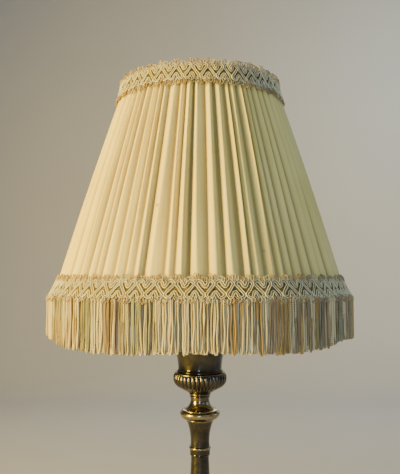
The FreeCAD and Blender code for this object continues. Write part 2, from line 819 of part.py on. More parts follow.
def terminal_hole(side, head_r, shank_r):
    out = V(side, 0, 0)
    seat_x = HOLDER_BASE_R - TERMINAL_HEAD_H - 0.3
    at = V(side * seat_x, 0, TERMINALS_Z)
    head = Part.makeCylinder(head_r, TERMINAL_HEAD_H + 2.0, at, out)
    shank = Part.makeCylinder(shank_r, TERMINAL_SHANK, at - out * TERMINAL_SHANK, out)
    return head.fuse(shank)


def holder_base():
    """Moulded block that holds the terminals, the switch spindle and the screw shell."""
    block = rod(HOLDER_BASE_R, HOLDER_BASE_Z, HOLDER_FACE_Z)
    wire_way = rod(PIPE_BORE_R, HOLDER_BASE_Z - 1, HOLDER_BASE_Z + 2.5)
    block = block.cut(wire_way)
    depth = SPINDLE_DEPTH + 0.5
    block = block.cut(key_bore(SPINDLE_R + SLIP, HOLDER_BASE_R - depth, depth + 2))
    for side in (-1, 1):
        hole = terminal_hole(side, TERMINAL_HEAD_R + SLIP, TERMINAL_SHANK_R + 0.02)
        block = block.cut(hole)
    return block


def terminal_screws():
    screws = []
    for side in (-1, 1):
        out = V(side, 0, 0)
        seat_x = HOLDER_BASE_R - TERMINAL_HEAD_H - 0.3
        at = V(side * seat_x, 0, TERMINALS_Z)
        head = Part.makeCylinder(TERMINAL_HEAD_R, TERMINAL_HEAD_H, at, out)
        shank = Part.makeCylinder(TERMINAL_SHANK_R, TERMINAL_SHANK, at - out * TERMINAL_SHANK, out)
        slot_w = 0.7
        slot = Part.makeBox(
            2 * TERMINAL_HEAD_H,
            3 * TERMINAL_HEAD_R,
            slot_w,
            V(-TERMINAL_HEAD_H, -1.5 * TERMINAL_HEAD_R, -slot_w / 2),
        )
        slot.translate(at + out * (1.5 * TERMINAL_HEAD_H + 0.3))
        screws.append(head.fuse(shank).removeSplitter().cut(slot))
    return group(screws)


def screw_shell():
    """Thin threaded shell that grips the bulb's cap, drawn as a plain tube."""
    outer = SCREW_SHELL_R + SCREW_SHELL_T
    return tube(outer, SCREW_SHELL_R, HOLDER_FACE_Z, HOLDER_FACE_Z + SCREW_SHELL_H)


def socket_contact():
    return rod(SOCKET_CONTACT_R, HOLDER_FACE_Z, HOLDER_FACE_Z + SOCKET_CONTACT_T)


def key_root_y():
    """Distance of the key's hub from the lamp's axis."""
    return SHELL_R + SPINDLE_OUT


def switch_spindle():
    start = HOLDER_BASE_R - SPINDLE_DEPTH
    return key_bore(SPINDLE_R, start, key_root_y() + SPINDLE_GRIP - start)


def switch_key():
    """Flat oval key on a round hub."""
    hub_y = key_root_y()
    hub = key_bore(KEY_HUB_R, hub_y, KEY_HUB_L)
    blade_y = hub_y + KEY_HUB_L - 0.6
    rx = KEY_L / 2
    rz = KEY_W / 2
    centre = V(-KEY_T / 2, -(blade_y + rx), KEY_AXIS_Z)
    oval = Part.Ellipse(centre, rx, rz)
    oval.Axis = V(1, 0, 0)
    face = Part.Face(Part.Wire(oval.toShape()))
    blade = face.extrude(V(KEY_T, 0, 0))
    socket = key_bore(SPINDLE_R + 0.02, hub_y - 1, SPINDLE_GRIP + 1)
    return hub.fuse(blade).removeSplitter().cut(socket)


# ================================================================ bulb
BULB_Z = HOLDER_FACE_Z + SOCKET_CONTACT_T
BULB_CAP_Z = BULB_Z + BULB_TIP_H
BULB_GLASS_Z = BULB_CAP_Z + BULB_CAP_H
STEM_Z = BULB_GLASS_Z + BULB_GLASS_T
STEM_TOP_Z = STEM_Z + MOUNT_STEM_H


def bulb_tip():
    return (
        Outline(0, BULB_Z)
        .line(BULB_TIP_R - 1.5, BULB_Z)
        .arc(BULB_TIP_R - 0.35, BULB_Z + 0.5, BULB_TIP_R, BULB_CAP_Z)
        .line(0, BULB_CAP_Z)
        .turned()
    )


def bulb_cap():
    """Screw cap, with its thread drawn as rounded ridges."""
    root_r = BULB_CAP_R - BULB_THREAD_DEPTH
    outline = Outline(0, BULB_CAP_Z).line(BULB_TIP_R + 1.0, BULB_CAP_Z)
    outline.line(root_r, BULB_CAP_Z + BULB_THREAD_START)
    ridge_h = BULB_THREAD_PITCH * 0.8
    for k in range(BULB_THREAD_TURNS):
        base = BULB_CAP_Z + BULB_THREAD_START + k * BULB_THREAD_PITCH
        outline.bead(root_r, base + ridge_h, BULB_THREAD_DEPTH)
        if k < BULB_THREAD_TURNS - 1:
            outline.line(root_r, base + BULB_THREAD_PITCH)
    outline.line(root_r, BULB_GLASS_Z).line(0, BULB_GLASS_Z)
    return outline.turned()


def globe_outline(inset, low):
    """The bulb's glass as an outline, set in by a distance from its outside."""
    neck = BULB_NECK_R - inset
    globe = BULB_R - inset
    centre_z = BULB_GLASS_Z + BULB_GLASS_H - BULB_R
    shoulder_z = BULB_GLASS_Z + BULB_SHOULDER_H
    lean = math.asin((centre_z - shoulder_z) / BULB_R)
    shoulder_r = globe * math.cos(lean)
    shoulder_h = centre_z - globe * math.sin(lean)
    return (
        Outline(0, low)
        .line(neck, low)
        .line(neck, BULB_GLASS_Z + 5.0)
        .line(shoulder_r, shoulder_h)
        .arc(globe, centre_z, globe * math.sqrt(0.5), centre_z + globe * math.sqrt(0.5))
        .arc(
            globe * math.sin(math.pi / 8),
            centre_z + globe * math.cos(math.pi / 8),
            0,
            centre_z + globe,
        )
    )


def bulb_glass():
    outside = globe_outline(0.0, BULB_GLASS_Z).turned()
    inside = globe_outline(BULB_GLASS_T, BULB_GLASS_Z + BULB_GLASS_T).turned()
    return outside.cut(inside)


def bulb_stem():
    """Glass stem on the bulb's floor."""
    foot_r = 2 * MOUNT_STEM_R
    return (
        Outline(0, STEM_Z)
        .line(foot_r, STEM_Z)
        .arc(
            MOUNT_STEM_R + 0.7,
            STEM_Z + 0.42 * MOUNT_FLARE_H,
            MOUNT_STEM_R,
            STEM_Z + MOUNT_FLARE_H,
        )
        .line(MOUNT_STEM_R, STEM_TOP_Z)
        .line(0, STEM_TOP_Z)
        .turned()
    )


def filament():
    """Two support wires out of the stem, and the filament across their tips."""
    tip_z = STEM_TOP_Z + LEAD_WIRE_H
    coil_start = V(-LEAD_SPREAD, 0, tip_z)
    coil = Part.makeCylinder(FILAMENT_R, 2 * LEAD_SPREAD, coil_start, V(1, 0, 0))
    wires = []
    for side in (-1, 1):
        root = V(side * MOUNT_STEM_R / 2, 0, STEM_TOP_Z)
        run = V(side * LEAD_SPREAD, 0, tip_z) - root
        wires.append(Part.makeCylinder(LEAD_WIRE_R, run.Length, root, run))
    joined = coil.fuse(wires)
    return joined.cut(rod(MOUNT_STEM_R, STEM_Z, STEM_TOP_Z))


# ================================================================ harp
HARP_FOOT_Z = SADDLE_Z + SADDLE_T
SEAT_Z = SADDLE_Z + HARP_H  # the face that the shade's spider rests on
HARP_TOP_RUN_Z = SEAT_Z - SEAT_H / 2 - 0.3
TAB_X = HARP_LEG_X + HARP_WIRE_R + 0.05
FERRULE_X = (HARP_LEG_X - HARP_WIRE_R + TAB_X + SADDLE_T) / 2


def harp_path():
    right = [
        V(HARP_LEG_X, 0, HARP_FOOT_Z),
        V(HARP_LEG_X, 0, SADDLE_Z + HARP_LEG_H),
        V(HARP_BELLY_X, 0, SADDLE_Z + HARP_BELLY_LOW),
        V(HARP_BELLY_X, 0, SADDLE_Z + HARP_BELLY_HIGH),
        V(HARP_CROWN_X, 0, HARP_TOP_RUN_Z - HARP_CROWN_DROP),
        V(SEAT_R + HARP_SHOULDER, 0, HARP_TOP_RUN_Z),
    ]
    left = [V(-p.x, 0, p.z) for p in reversed(right)]
    radii = list(HARP_BENDS) + list(reversed(HARP_BENDS))
    return rounded_path(right + left, radii)


def harp():
    return wire_along(harp_path(), HARP_WIRE_R)


def harp_saddle():
    """Steel strip under the lampholder, whose narrow ends stand up beside the harp's legs."""
    end_x = TAB_X + SADDLE_T
    strip = Part.makeBox(2 * end_x, SADDLE_W, SADDLE_T, V(-end_x, -SADDLE_W / 2, SADDLE_Z))
    tabs = [
        Part.makeBox(
            SADDLE_T,
            SADDLE_TAB_W,
            SADDLE_T + SADDLE_TAB_H,
            V(x, -SADDLE_TAB_W / 2, SADDLE_Z),
        )
        for x in (TAB_X, -end_x)
    ]
    body = strip.fuse(tabs).removeSplitter()
    corners = [
        e
        for e in body.Edges
        if abs(e.BoundBox.XLength) < 1e-6
        and abs(e.BoundBox.YLength) < 1e-6
        and abs(abs(e.CenterOfMass.y) - SADDLE_W / 2) < 1e-6
    ]
    return bored(body.makeFillet(SADDLE_W / 4, corners))


def harp_ferrule(side):
    """Sleeve that locks a leg of the harp to the saddle's upright end."""
    outer = SLEEVE_BORE_R + FERRULE_WALL
    x = side * FERRULE_X
    return tube(outer, SLEEVE_BORE_R, HARP_FOOT_Z, HARP_FOOT_Z + FERRULE_H, x)


def harp_seat():
    """Brass block on top of the harp, cross-bored for its wire, with the threaded stud."""
    low = SEAT_Z - SEAT_H
    block = (
        Outline(0, low)
        .line(SEAT_R - 0.8, low)
        .line(SEAT_R, low + 0.8)
        .line(SEAT_R, SEAT_Z)
        .line(STUD_R, SEAT_Z)
        .line(STUD_R, SEAT_Z + STUD_H - 0.6)
        .line(STUD_R - 0.6, SEAT_Z + STUD_H)
        .line(0, SEAT_Z + STUD_H)
        .turned()
    )
    start = V(-SEAT_R - 1, 0, HARP_TOP_RUN_Z)
    cross_bore = Part.makeCylinder(HARP_WIRE_R + 0.02, 2 * SEAT_R + 2, start, V(1, 0, 0))
    return block.cut(cross_bore)


# ================================================================ shade
WASHER_Z = SEAT_Z
ARMS_Z = WASHER_Z + SPIDER_WIRE_R  # the arms stand no lower than the washer
TOP_RING_Z = ARMS_Z + SPIDER_DROP
LOW_RING_Z = TOP_RING_Z - RING_SPACING
COVER_TOP_Z = TOP_RING_Z + RING_WIRE_R
COVER_LOW_Z = LOW_RING_Z - RING_WIRE_R
SLOPE = (COVER_BOTTOM_R - COVER_TOP_R) / RING_SPACING
LEVEL = math.sqrt(1 + SLOPE**2)  # level distance for one millimetre across the slope


def crest_r(height):
    """Radius over the folds of the cover at a height."""
    return COVER_TOP_R + SLOPE * (TOP_RING_Z - height)


def cover_inside_r(height):
    return crest_r(height) - FOLD_DEPTH - CLOTH_T


def ring_r(height):
    """Radius of a ring's middle, under the cover."""
    return cover_inside_r(height) - (RING_WIRE_R + CLOTH_GAP) * LEVEL


def lining_outside_r(height):
    return ring_r(height) - (RING_WIRE_R + CLOTH_GAP) * LEVEL


def sloped_band(low, high, inner_low, inner_high, outer_low, outer_high):
    """A ring whose section has four corners, given by radius at its two heights."""
    return (
        Outline(inner_low, low)
        .line(outer_low, low)
        .line(outer_high, high)
        .line(inner_high, high)
        .turned()
    )


def shade_top_ring():
    return Part.makeTorus(ring_r(TOP_RING_Z), RING_WIRE_R, V(0, 0, TOP_RING_Z), UP)


def shade_bottom_ring():
    return Part.makeTorus(ring_r(LOW_RING_Z), RING_WIRE_R, V(0, 0, LOW_RING_Z), UP)


def shade_struts():
    """Straight ribs between the rings, butted against them."""
    inset = (STRUT_R + CLOTH_GAP) * LEVEL
    low = V(cover_inside_r(LOW_RING_Z) - inset, 0, LOW_RING_Z)
    high = V(cover_inside_r(TOP_RING_Z) - inset, 0, TOP_RING_Z)
    run = high - low
    strut = Part.makeCylinder(STRUT_R, run.Length, low, run)
    strut = strut.cut(shade_top_ring()).cut(shade_bottom_ring())
    longest = max(strut.Solids, key=lambda s: s.Volume)
    spread = turned_copies(longest, STRUTS)
    for s in spread:
        s.rotate(V(0, 0, 0), UP, 180.0 / STRUTS)
    return group(spread)


def spider_arm(radius):
    """One arm: level from the washer, then up to the upper ring."""
    reach = ring_r(TOP_RING_Z)
    path = rounded_path(
        [
            V(SPIDER_WASHER_R - 3.0, 0, ARMS_Z),
            V(reach - SPIDER_BEND_IN, 0, ARMS_Z),
            V(reach, 0, TOP_RING_Z),
        ],
        [SPIDER_BEND_R],
    )
    return wire_along(path, radius)


def spider_arms(radius):
    arms = turned_copies(spider_arm(radius), SPIDER_ARMS)
    for arm in arms:
        arm.rotate(V(0, 0, 0), UP, 90)
    return arms


def shade_spider():
    """Washer on the harp's stud, and three arms up to the shade's upper ring."""
    washer = tube(SPIDER_WASHER_R, STUD_R + 2 * SLIP, WASHER_Z, WASHER_Z + SPIDER_WASHER_T)
    ring = shade_top_ring()
    pieces = [washer]
    for arm in spider_arms(SPIDER_WIRE_R):
        rest = arm.cut(washer).cut(ring)
        pieces.append(max(rest.Solids, key=lambda s: s.Volume))
    return group(pieces)


def shade_lining():
    low = COVER_LOW_Z
    high = COVER_TOP_Z
    lining = sloped_band(
        low,
        high,
        lining_outside_r(low) - LINING_T,
        lining_outside_r(high) - LINING_T,
        lining_outside_r(low),
        lining_outside_r(high),
    )
    for arm in spider_arms(SPIDER_WIRE_R + WIRE_SLIT):
        lining = lining.cut(arm)
    return lining


def fold_angles():
    """Where each fold starts, in radians round the shade: uneven, as gathered by hand."""
    first, second = FOLD_UNEVEN
    back = [
        1 + first * math.sin(2.4 * k) + second * math.sin(5.3 * k + 1.0)
        for k in range(BACK_FOLDS)
    ]
    left = 2 * math.pi * COVER_BOTTOM_R - sum(FRONT_FOLDS)
    widths = list(FRONT_FOLDS) + [w * left / sum(back) for w in back]
    angles = [math.radians(270.0 - FRONT_START_DEG)]
    for w in widths:
        angles.append(angles[-1] + w / COVER_BOTTOM_R)
    return angles


def folded_wire(height):
    """The cover's outside at one height: each fold rises steeply and falls away slowly."""
    crest = crest_r(height)
    root = crest - FOLD_DEPTH
    angles = fold_angles()
    edges = []
    for a, b in zip(angles[:-1], angles[1:]):
        top = a + FOLD_RISE * (b - a)
        start = V(root * math.cos(a), root * math.sin(a), height)
        peak = V(crest * math.cos(top), crest * math.sin(top), height)
        end = V(root * math.cos(b), root * math.sin(b), height)
        if b == angles[-1]:
            end = V(root * math.cos(angles[0]), root * math.sin(angles[0]), height)
        way = (top + b) / 2
        bow_r = (crest + root) / 2 + FOLD_SWELL
        bow = V(bow_r * math.cos(way), bow_r * math.sin(way), height)
        edges.append(Part.LineSegment(start, peak).toShape())
        edges.append(Part.Arc(peak, bow, end).toShape())
    return Part.Wire(edges)


def pleated_cover():
    wires = [folded_wire(COVER_LOW_Z), folded_wire(COVER_TOP_Z)]
    outside = Part.makeLoft(wires, True, True)
    low = COVER_LOW_Z - 1
    high = COVER_TOP_Z + 1
    inside = Part.makeCone(cover_inside_r(low), cover_inside_r(high), high - low, V(0, 0, low))
    return outside.cut(inside)


def top_braid():
    high = COVER_TOP_Z
    low = high - BRAID_W / LEVEL
    return sloped_band(
        low,
        high,
        crest_r(low) + CLOTH_GAP,
        crest_r(high) + CLOTH_GAP,
        crest_r(low) + CLOTH_GAP + TOP_BRAID_LOW,
        crest_r(high) + CLOTH_GAP + TOP_BRAID_HIGH,
    )


LOW_BRAID_TOP_Z = COVER_LOW_Z + BRAID_W / LEVEL * 0.96  # it leans out more than the cover


def heading_face_r(height):
    """Radius of the fringe heading's outer face, which the lower braid lies on."""
    share = (height - COVER_LOW_Z) / (LOW_BRAID_TOP_Z - COVER_LOW_Z)
    return crest_r(height) + CLOTH_GAP + HEADING_T * (1 - share)


def fringe_heading():
    """Woven tape that the strands are sewn into, under the lower half of the braid."""
    low = COVER_LOW_Z
    high = low + HEADING_H
    return sloped_band(
        low,
        high,
        crest_r(low) + CLOTH_GAP,
        crest_r(high) + CLOTH_GAP,
        heading_face_r(low),
        heading_face_r(high),
    )


def bottom_braid():
    low = COVER_LOW_Z
    high = LOW_BRAID_TOP_Z
    return sloped_band(
        low,
        high,
        heading_face_r(low) + CLOTH_GAP,
        heading_face_r(high) + CLOTH_GAP,
        heading_face_r(low) + CLOTH_GAP + LOW_BRAID_LOW,
        heading_face_r(high) + CLOTH_GAP + LOW_BRAID_HIGH,
    )


def fringe():
    """The hanging strands together, as one plain skirt."""
    outer = heading_face_r(COVER_LOW_Z) + CLOTH_GAP + LOW_BRAID_LOW + 0.4
    return tube(outer, outer - FRINGE_T, COVER_LOW_Z - FRINGE_DROP, COVER_LOW_Z)


# ================================================================ finial
FINIAL_Z = WASHER_Z + SPIDER_WASHER_T
INSERT_BORE_R = STUD_R + THREAD_GAP
INSERT_R = INSERT_BORE_R + INSERT_WALL


def finial_insert():
    """Threaded sleeve in the finial, which runs on the harp's stud."""
    return tube(INSERT_R, INSERT_BORE_R, FINIAL_Z, FINIAL_Z + INSERT_H)


def finial_knob():
    low = FINIAL_Z
    high = low + FINIAL_H
    waist_z = low + FINIAL_FOOT_H
    ball_z = waist_z + 0.42 * (high - waist_z)
    body = (
        Outline(0, low)
        .line(FINIAL_FOOT_R, low)
        .bead(FINIAL_FOOT_R, low + 2.4, 0.8)
        .arc(FINIAL_FOOT_R - 1.0, low + 6.0, FINIAL_FOOT_R - 0.6, low + FINIAL_BELL_H)
        .bead(FINIAL_WAIST_R, waist_z, 0.7)
        .arc(FINIAL_BALL_R, ball_z, FINIAL_WAIST_R - 1.0, high - 4.0)
        .line(FINIAL_TIP_R, high - 3.0)
        .line(FINIAL_TIP_R, high - FINIAL_TIP_R)
        .arc(
            FINIAL_TIP_R * math.sqrt(0.5),
            high - FINIAL_TIP_R * (1 - math.sqrt(0.5)),
            0,
            high,
        )
        .turned()
    )
    cavity = rod(INSERT_R + 0.05, low - 1, low + INSERT_H + 0.3)
    return body.cut(cavity)


# ================================================================ all the pieces
PIECES = {
    "felt_pad": felt_pad,
    "foot_plate": foot_plate,
    "cord_bush": cord_bush,
    "ballast": ballast,
    "bottom_washer": bottom_washer,
    "bottom_nut": bottom_nut,
    "tie_pipe": tie_pipe,
    "foot_gadroon_ring": foot_gadroon_ring,
    "foot_dome": foot_dome,
    "base_collar": base_collar,
    "column_shaft": column_shaft,
    "astragal_ring": astragal_ring,
    "column_neck": column_neck,
    "knop": knop,
    "urn_stem": urn_stem,
    "gadroon_bowl": gadroon_bowl,
    "bowl_shoulder": bowl_shoulder,
    "candle_cup": candle_cup,
    "cup_nut": cup_nut,
    "cup_lid": cup_lid,
    "holder_cap": holder_cap,
    "cap_set_screw": cap_set_screw,
    "holder_shell": holder_shell,
    "holder_sleeve": holder_sleeve,
    "holder_base": holder_base,
    "terminal_screws": terminal_screws,
    "screw_shell": screw_shell,
    "socket_contact": socket_contact,
    "switch_spindle": switch_spindle,
    "switch_key": switch_key,
    "bulb_tip": bulb_tip,
    "bulb_cap": bulb_cap,
    "bulb_glass": bulb_glass,
    "bulb_stem": bulb_stem,
    "filament": filament,
    "harp_saddle": harp_saddle,
    "harp": harp,
    "harp_ferrule_left": lambda: harp_ferrule(-1),
    "harp_ferrule_right": lambda: harp_ferrule(1),
    "harp_seat": harp_seat,
    "shade_top_ring": shade_top_ring,
    "shade_bottom_ring": shade_bottom_ring,
    "shade_struts": shade_struts,
    "shade_spider": shade_spider,
    "shade_lining": shade_lining,
    "pleated_cover": pleated_cover,
    "top_braid": top_braid,
    "fringe_heading": fringe_heading,
    "bottom_braid": bottom_braid,
    "fringe": fringe,
    "finial_insert": finial_insert,
    "finial_knob": finial_knob,
}


def main():
    os.makedirs(PARTS_FOLDER, exist_ok=True)
    for name, make in PIECES.items():
        shape = make()
        solids = shape.Solids
        if not shape.isValid() or not solids or min(s.Volume for s in solids) <= 0:
            raise ValueError(f"{name} is not a sound solid")
        whole = solids[0] if len(solids) == 1 else Part.makeCompound(solids)
        whole.exportStep(os.path.join(PARTS_FOLDER, name + ".step"))
        box = whole.BoundBox
        print(
            f"{name:20s} solids {len(solids)}  volume {whole.Volume / 1000:8.2f} cm3"
            f"  z {box.ZMin:7.2f} to {box.ZMax:7.2f}  widest {box.XLength:6.1f}"
        )


main()
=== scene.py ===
# %% [markdown]
# A candlestick lamp, dressed for the camera.
#
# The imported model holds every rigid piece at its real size. This lesson gives each of them
# a finish, and makes the soft pieces that a solid can only stand in for: the gathered silk,
# the lining, the two scroll braids and the fringe. Lengths are in metres, +Z is up, and the
# lamp is seen from -Y. Every new piece stays where its solid is, so nothing is fitted later.

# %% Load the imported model
import math
import random

import bmesh
import bpy
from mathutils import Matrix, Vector, noise


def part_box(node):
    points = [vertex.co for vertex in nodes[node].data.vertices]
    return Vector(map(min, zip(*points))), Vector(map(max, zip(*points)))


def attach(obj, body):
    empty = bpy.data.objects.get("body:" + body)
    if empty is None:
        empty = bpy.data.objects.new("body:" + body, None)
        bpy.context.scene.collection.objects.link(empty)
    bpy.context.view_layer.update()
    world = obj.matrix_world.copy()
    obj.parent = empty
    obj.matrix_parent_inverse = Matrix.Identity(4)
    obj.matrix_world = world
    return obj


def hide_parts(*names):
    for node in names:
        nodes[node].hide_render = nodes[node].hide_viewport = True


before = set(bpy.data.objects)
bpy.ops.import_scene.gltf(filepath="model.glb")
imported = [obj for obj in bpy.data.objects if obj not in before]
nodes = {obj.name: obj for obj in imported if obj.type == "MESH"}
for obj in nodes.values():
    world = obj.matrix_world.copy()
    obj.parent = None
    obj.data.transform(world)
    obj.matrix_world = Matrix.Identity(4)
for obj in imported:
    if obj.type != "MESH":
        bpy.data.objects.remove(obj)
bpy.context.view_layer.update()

MM = 0.001

# %% [markdown]
# The shade is a cone, so each of its layers is known by two radii. They are read off the
# solids: the widest vertex near a height gives the layer's outer radius there. A table of
# numbers copied from the other file would do as well, but it would go stale when a size
# changes.


# %% The shade's sizes, read off the solids
def radius_at(node, height):
    """Widest radius of a node's vertices within a tenth of a millimetre of a height."""
    return max(
        math.hypot(v.co.x, v.co.y)
        for v in nodes[node].data.vertices
        if abs(v.co.z - height) < 0.1 * MM
    )


class Cone:
    """A sloped round face between two heights, as on the cover and on each braid."""

    def __init__(self, low_r, low_z, high_r, high_z):
        self.low_r, self.low_z = low_r, low_z
        self.high_r, self.high_z = high_r, high_z
        run = Vector((high_r - low_r, high_z - low_z))
        self.width = run.length
        self.along = run.normalized()
        self.out = Vector((self.along.y, -self.along.x))

    def at(self, angle, up, out=0.0):
        """The point at an angle, a distance up the slope, and a distance out from it."""
        flat = Vector((self.low_r, self.low_z)) + self.along * up + self.out * out
        return Vector((flat.x * math.cos(angle), flat.x * math.sin(angle), flat.y))

    def radius(self, share):
        return self.low_r + (self.high_r - self.low_r) * share


def cone_of(node):
    low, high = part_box(node)
    return Cone(radius_at(node, low.z), low.z, radius_at(node, high.z), high.z)


FRONT = math.radians(270)  # the angle that faces the viewer
cover_cone = cone_of("pleated_cover")
lining_cone = cone_of("shade_lining")
heading_cone = cone_of("fringe_heading")
top_braid_cone = cone_of("top_braid")
low_braid_cone = cone_of("bottom_braid")
fringe_low, fringe_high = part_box("fringe")
print("cover", round(cover_cone.low_r, 4), "to", round(cover_cone.high_r, 4), "m radius")


# %% [markdown]
# Finishes are node trees. Written out link by link they hide the idea, so shader maths is
# written as Python: a small class wraps a socket and turns each operator into a Math node.
# One method makes any other node from its type, its settings and its inputs.


# %% A small language for shader maths
class Sock:
    """A node socket, or a number, that Python's operators can be used on."""

    def __init__(self, tree, socket):
        self.tree, self.socket = tree, socket

    def math(self, operation, *others):
        node = self.tree.nodes.new("ShaderNodeMath")
        node.operation = operation
        for slot, value in zip(node.inputs, (self, *others)):
            if isinstance(value, Sock):
                self.tree.links.new(value.socket, slot)
            else:
                slot.default_value = value
        return Sock(self.tree, node.outputs[0])

    def __add__(self, other):
        return self.math("ADD", other)

    __radd__ = __add__

    def __mul__(self, other):
        return self.math("MULTIPLY", other)

    __rmul__ = __mul__

    def __sub__(self, other):
        return self.math("SUBTRACT", other)

    def __rsub__(self, other):
        return (self * -1.0) + other

    def __truediv__(self, other):
        return self.math("DIVIDE", other)

    def __pow__(self, other):
        return self.math("POWER", other)

    def sin(self):
        return self.math("SINE")

    def abs(self):
        return self.math("ABSOLUTE")

    def max(self, other):
        return self.math("MAXIMUM", other)

    def hypot(self, other):
        return (self * self + other * other) ** 0.5

    def smooth(self, low, high):
        """0 under low, 1 over high, and a soft step between."""
        node = self.tree.nodes.new("ShaderNodeMapRange")
        node.interpolation_type = "SMOOTHSTEP"
        self.tree.links.new(self.socket, node.inputs["Value"])
        node.inputs["From Min"].default_value = low
        node.inputs["From Max"].default_value = high
        return Sock(self.tree, node.outputs[0])


class Finish:
    """A material under construction, with the lookups that the lamp's finishes share."""

    def __init__(self, name):
        self.material = bpy.data.materials.new(name)
        self.material.use_nodes = True
        self.tree = self.material.node_tree
        self.surface = self.tree.nodes["Principled BSDF"]
        place = self.tree.nodes.new("ShaderNodeTexCoord")
        self.place = Sock(self.tree, place.outputs["Object"])

    def node(self, kind, settings=None, **inputs):
        """Any node: its settings first, then the value or link of each named socket."""
        made = self.tree.nodes.new(kind)
        for key, value in (settings or {}).items():
            setattr(made, key, value)
        for key, value in inputs.items():
            socket = made.inputs[key.replace("_", " ")]
            if isinstance(value, Sock):
                self.tree.links.new(value.socket, socket)
            else:
                socket.default_value = value
        return made

    def axes(self):
        parts = self.node("ShaderNodeSeparateXYZ", Vector=self.place)
        return [Sock(self.tree, s) for s in parts.outputs]

    def round_place(self):
        """Angle round the lamp's axis, radius and height."""
        x, y, z = self.axes()
        return y.math("ARCTAN2", x), x.hypot(y), z

    def wrapped(self, size, rise):
        """Object coordinates that follow a cone's slope, with no seam: round, and up."""
        x, y, z = self.axes()
        radius = x.hypot(y)
        return self.vector(x / radius * size, y / radius * size, z * rise)

    def noise(self, scale, detail=2.0, vector=None, rough=0.5):
        """Soft noise from 0 to 1; scale is in features for each metre."""
        made = self.node(
            "ShaderNodeTexNoise",
            Vector=vector or self.place,
            Scale=scale,
            Detail=detail,
            Roughness=rough,
        )
        return Sock(self.tree, made.outputs["Fac"])

    def vector(self, x, y, z):
        made = self.node("ShaderNodeCombineXYZ", X=x, Y=y, Z=z)
        return Sock(self.tree, made.outputs[0])

    def mix(self, share, first, second):
        """Between two colours, by a share from 0 to 1."""
        made = self.node("ShaderNodeMix", {"data_type": "RGBA"})
        for slot, value in ((0, share), (6, first), (7, second)):
            if isinstance(value, Sock):
                self.tree.links.new(value.socket, made.inputs[slot])
            elif slot == 0:
                made.inputs[slot].default_value = value
            else:
                made.inputs[slot].default_value = (*value, 1.0)
        return Sock(self.tree, made.outputs[2])

    def ramp(self, share, stops):
        """Colour along a row of (place, colour) stops."""
        made = self.node("ShaderNodeValToRGB", Fac=share)
        elements = made.color_ramp.elements
        while len(elements) < len(stops):
            elements.new(0.5)
        for element, (place, colour) in zip(elements, stops):
            element.position = place
            element.color = (*colour, 1.0)
        return Sock(self.tree, made.outputs["Color"])

    def attribute(self, name):
        made = self.node("ShaderNodeAttribute", {"attribute_name": name})
        return Sock(self.tree, made.outputs["Fac"])

    def bump(self, height, distance, strength):
        """Relief: height times distance, in metres, feeds the surface's normal."""
        made = self.node("ShaderNodeBump", Height=height, Distance=distance, Strength=strength)
        self.tree.links.new(made.outputs[0], self.surface.inputs["Normal"])

    def set(self, **inputs):
        """Sockets of the surface itself, as values or links."""
        for key, value in inputs.items():
            socket = self.surface.inputs[key.replace("_", " ")]
            if isinstance(value, Sock):
                self.tree.links.new(value.socket, socket)
            elif isinstance(value, tuple) and len(value) == 3:
                socket.default_value = (*value, 1.0)
            else:
                socket.default_value = value


print("shader helpers ready")

# %% [markdown]
# The camera comes before the looks, because every choice is judged through it. It was
# worked out from the shade itself: the four edges of the two braids are circles, and their
# ellipses in the picture give the height of the eye, the distance and the lens.

# %% Camera
EYE_HEIGHT = 0.357
EYE_DISTANCE = 0.6341  # from the lamp's axis
LOOK_UP = math.radians(3.874)
FOCAL_PX = 615.0
FRAME_H_PX = 474.0  # the frame is 400 by 474, and the sensor's width goes with its longer side
SENSOR = 36.0

camera_data = bpy.data.cameras.new("camera")
camera_data.sensor_width = SENSOR
camera_data.lens = FOCAL_PX / FRAME_H_PX * SENSOR
camera = bpy.data.objects.new("camera", camera_data)
camera.location = (0.0, -EYE_DISTANCE, EYE_HEIGHT)
camera.rotation_euler = (math.pi / 2 + LOOK_UP, 0.0, 0.0)
bpy.context.scene.collection.objects.link(camera)
bpy.context.scene.camera = camera
print("lens", round(camera_data.lens, 1), "mm")


# %% [markdown]
# The stage is a pale floor that sweeps up into a pale wall, so no horizon cuts the lamp.
# It is one strip, extruded along a quarter circle.


# %% Floor and backdrop
def link(name, bm, smooth=True):
    """Turns a bmesh into an object at the origin."""
    mesh = bpy.data.meshes.new(name)
    bm.to_mesh(mesh)
    bm.free()
    for face in mesh.polygons:
        face.use_smooth = smooth
    made = bpy.data.objects.new(name, mesh)
    bpy.context.scene.collection.objects.link(made)
    return made


def sweep_backdrop():
    half_width, near, far, turn = 3.0, -2.6, 1.15, 0.6
    bm = bmesh.new()
    row = [bm.verts.new((x, near, 0.0)) for x in (-half_width, half_width)]
    edge = bm.edges.new(row)
    path = [(far, 0.0)]
    path += [
        (far + turn * math.sin(a), turn * (1 - math.cos(a)))
        for a in (math.radians(9 * k) for k in range(1, 11))
    ]
    path.append((far + turn, 2.6))
    here = (near, 0.0)
    for y, z in path:
        grown = bmesh.ops.extrude_edge_only(bm, edges=[edge])["geom"]
        fresh = [g for g in grown if isinstance(g, bmesh.types.BMVert)]
        bmesh.ops.translate(bm, verts=fresh, vec=(0, y - here[0], z - here[1]))
        edge = next(g for g in grown if isinstance(g, bmesh.types.BMEdge))
        here = (y, z)
    bmesh.ops.recalc_face_normals(bm, faces=bm.faces)
    return link("backdrop", bm)


backdrop = sweep_backdrop()
paper = Finish("pale_backdrop")
paper.set(
    Base_Color=paper.mix(paper.noise(3.0), (0.52, 0.50, 0.48), (0.56, 0.54, 0.52)),
    Roughness=0.9,
    Specular_IOR_Level=0.1,
)
backdrop.data.materials.append(paper.material)
print("backdrop:", len(backdrop.data.polygons), "faces")


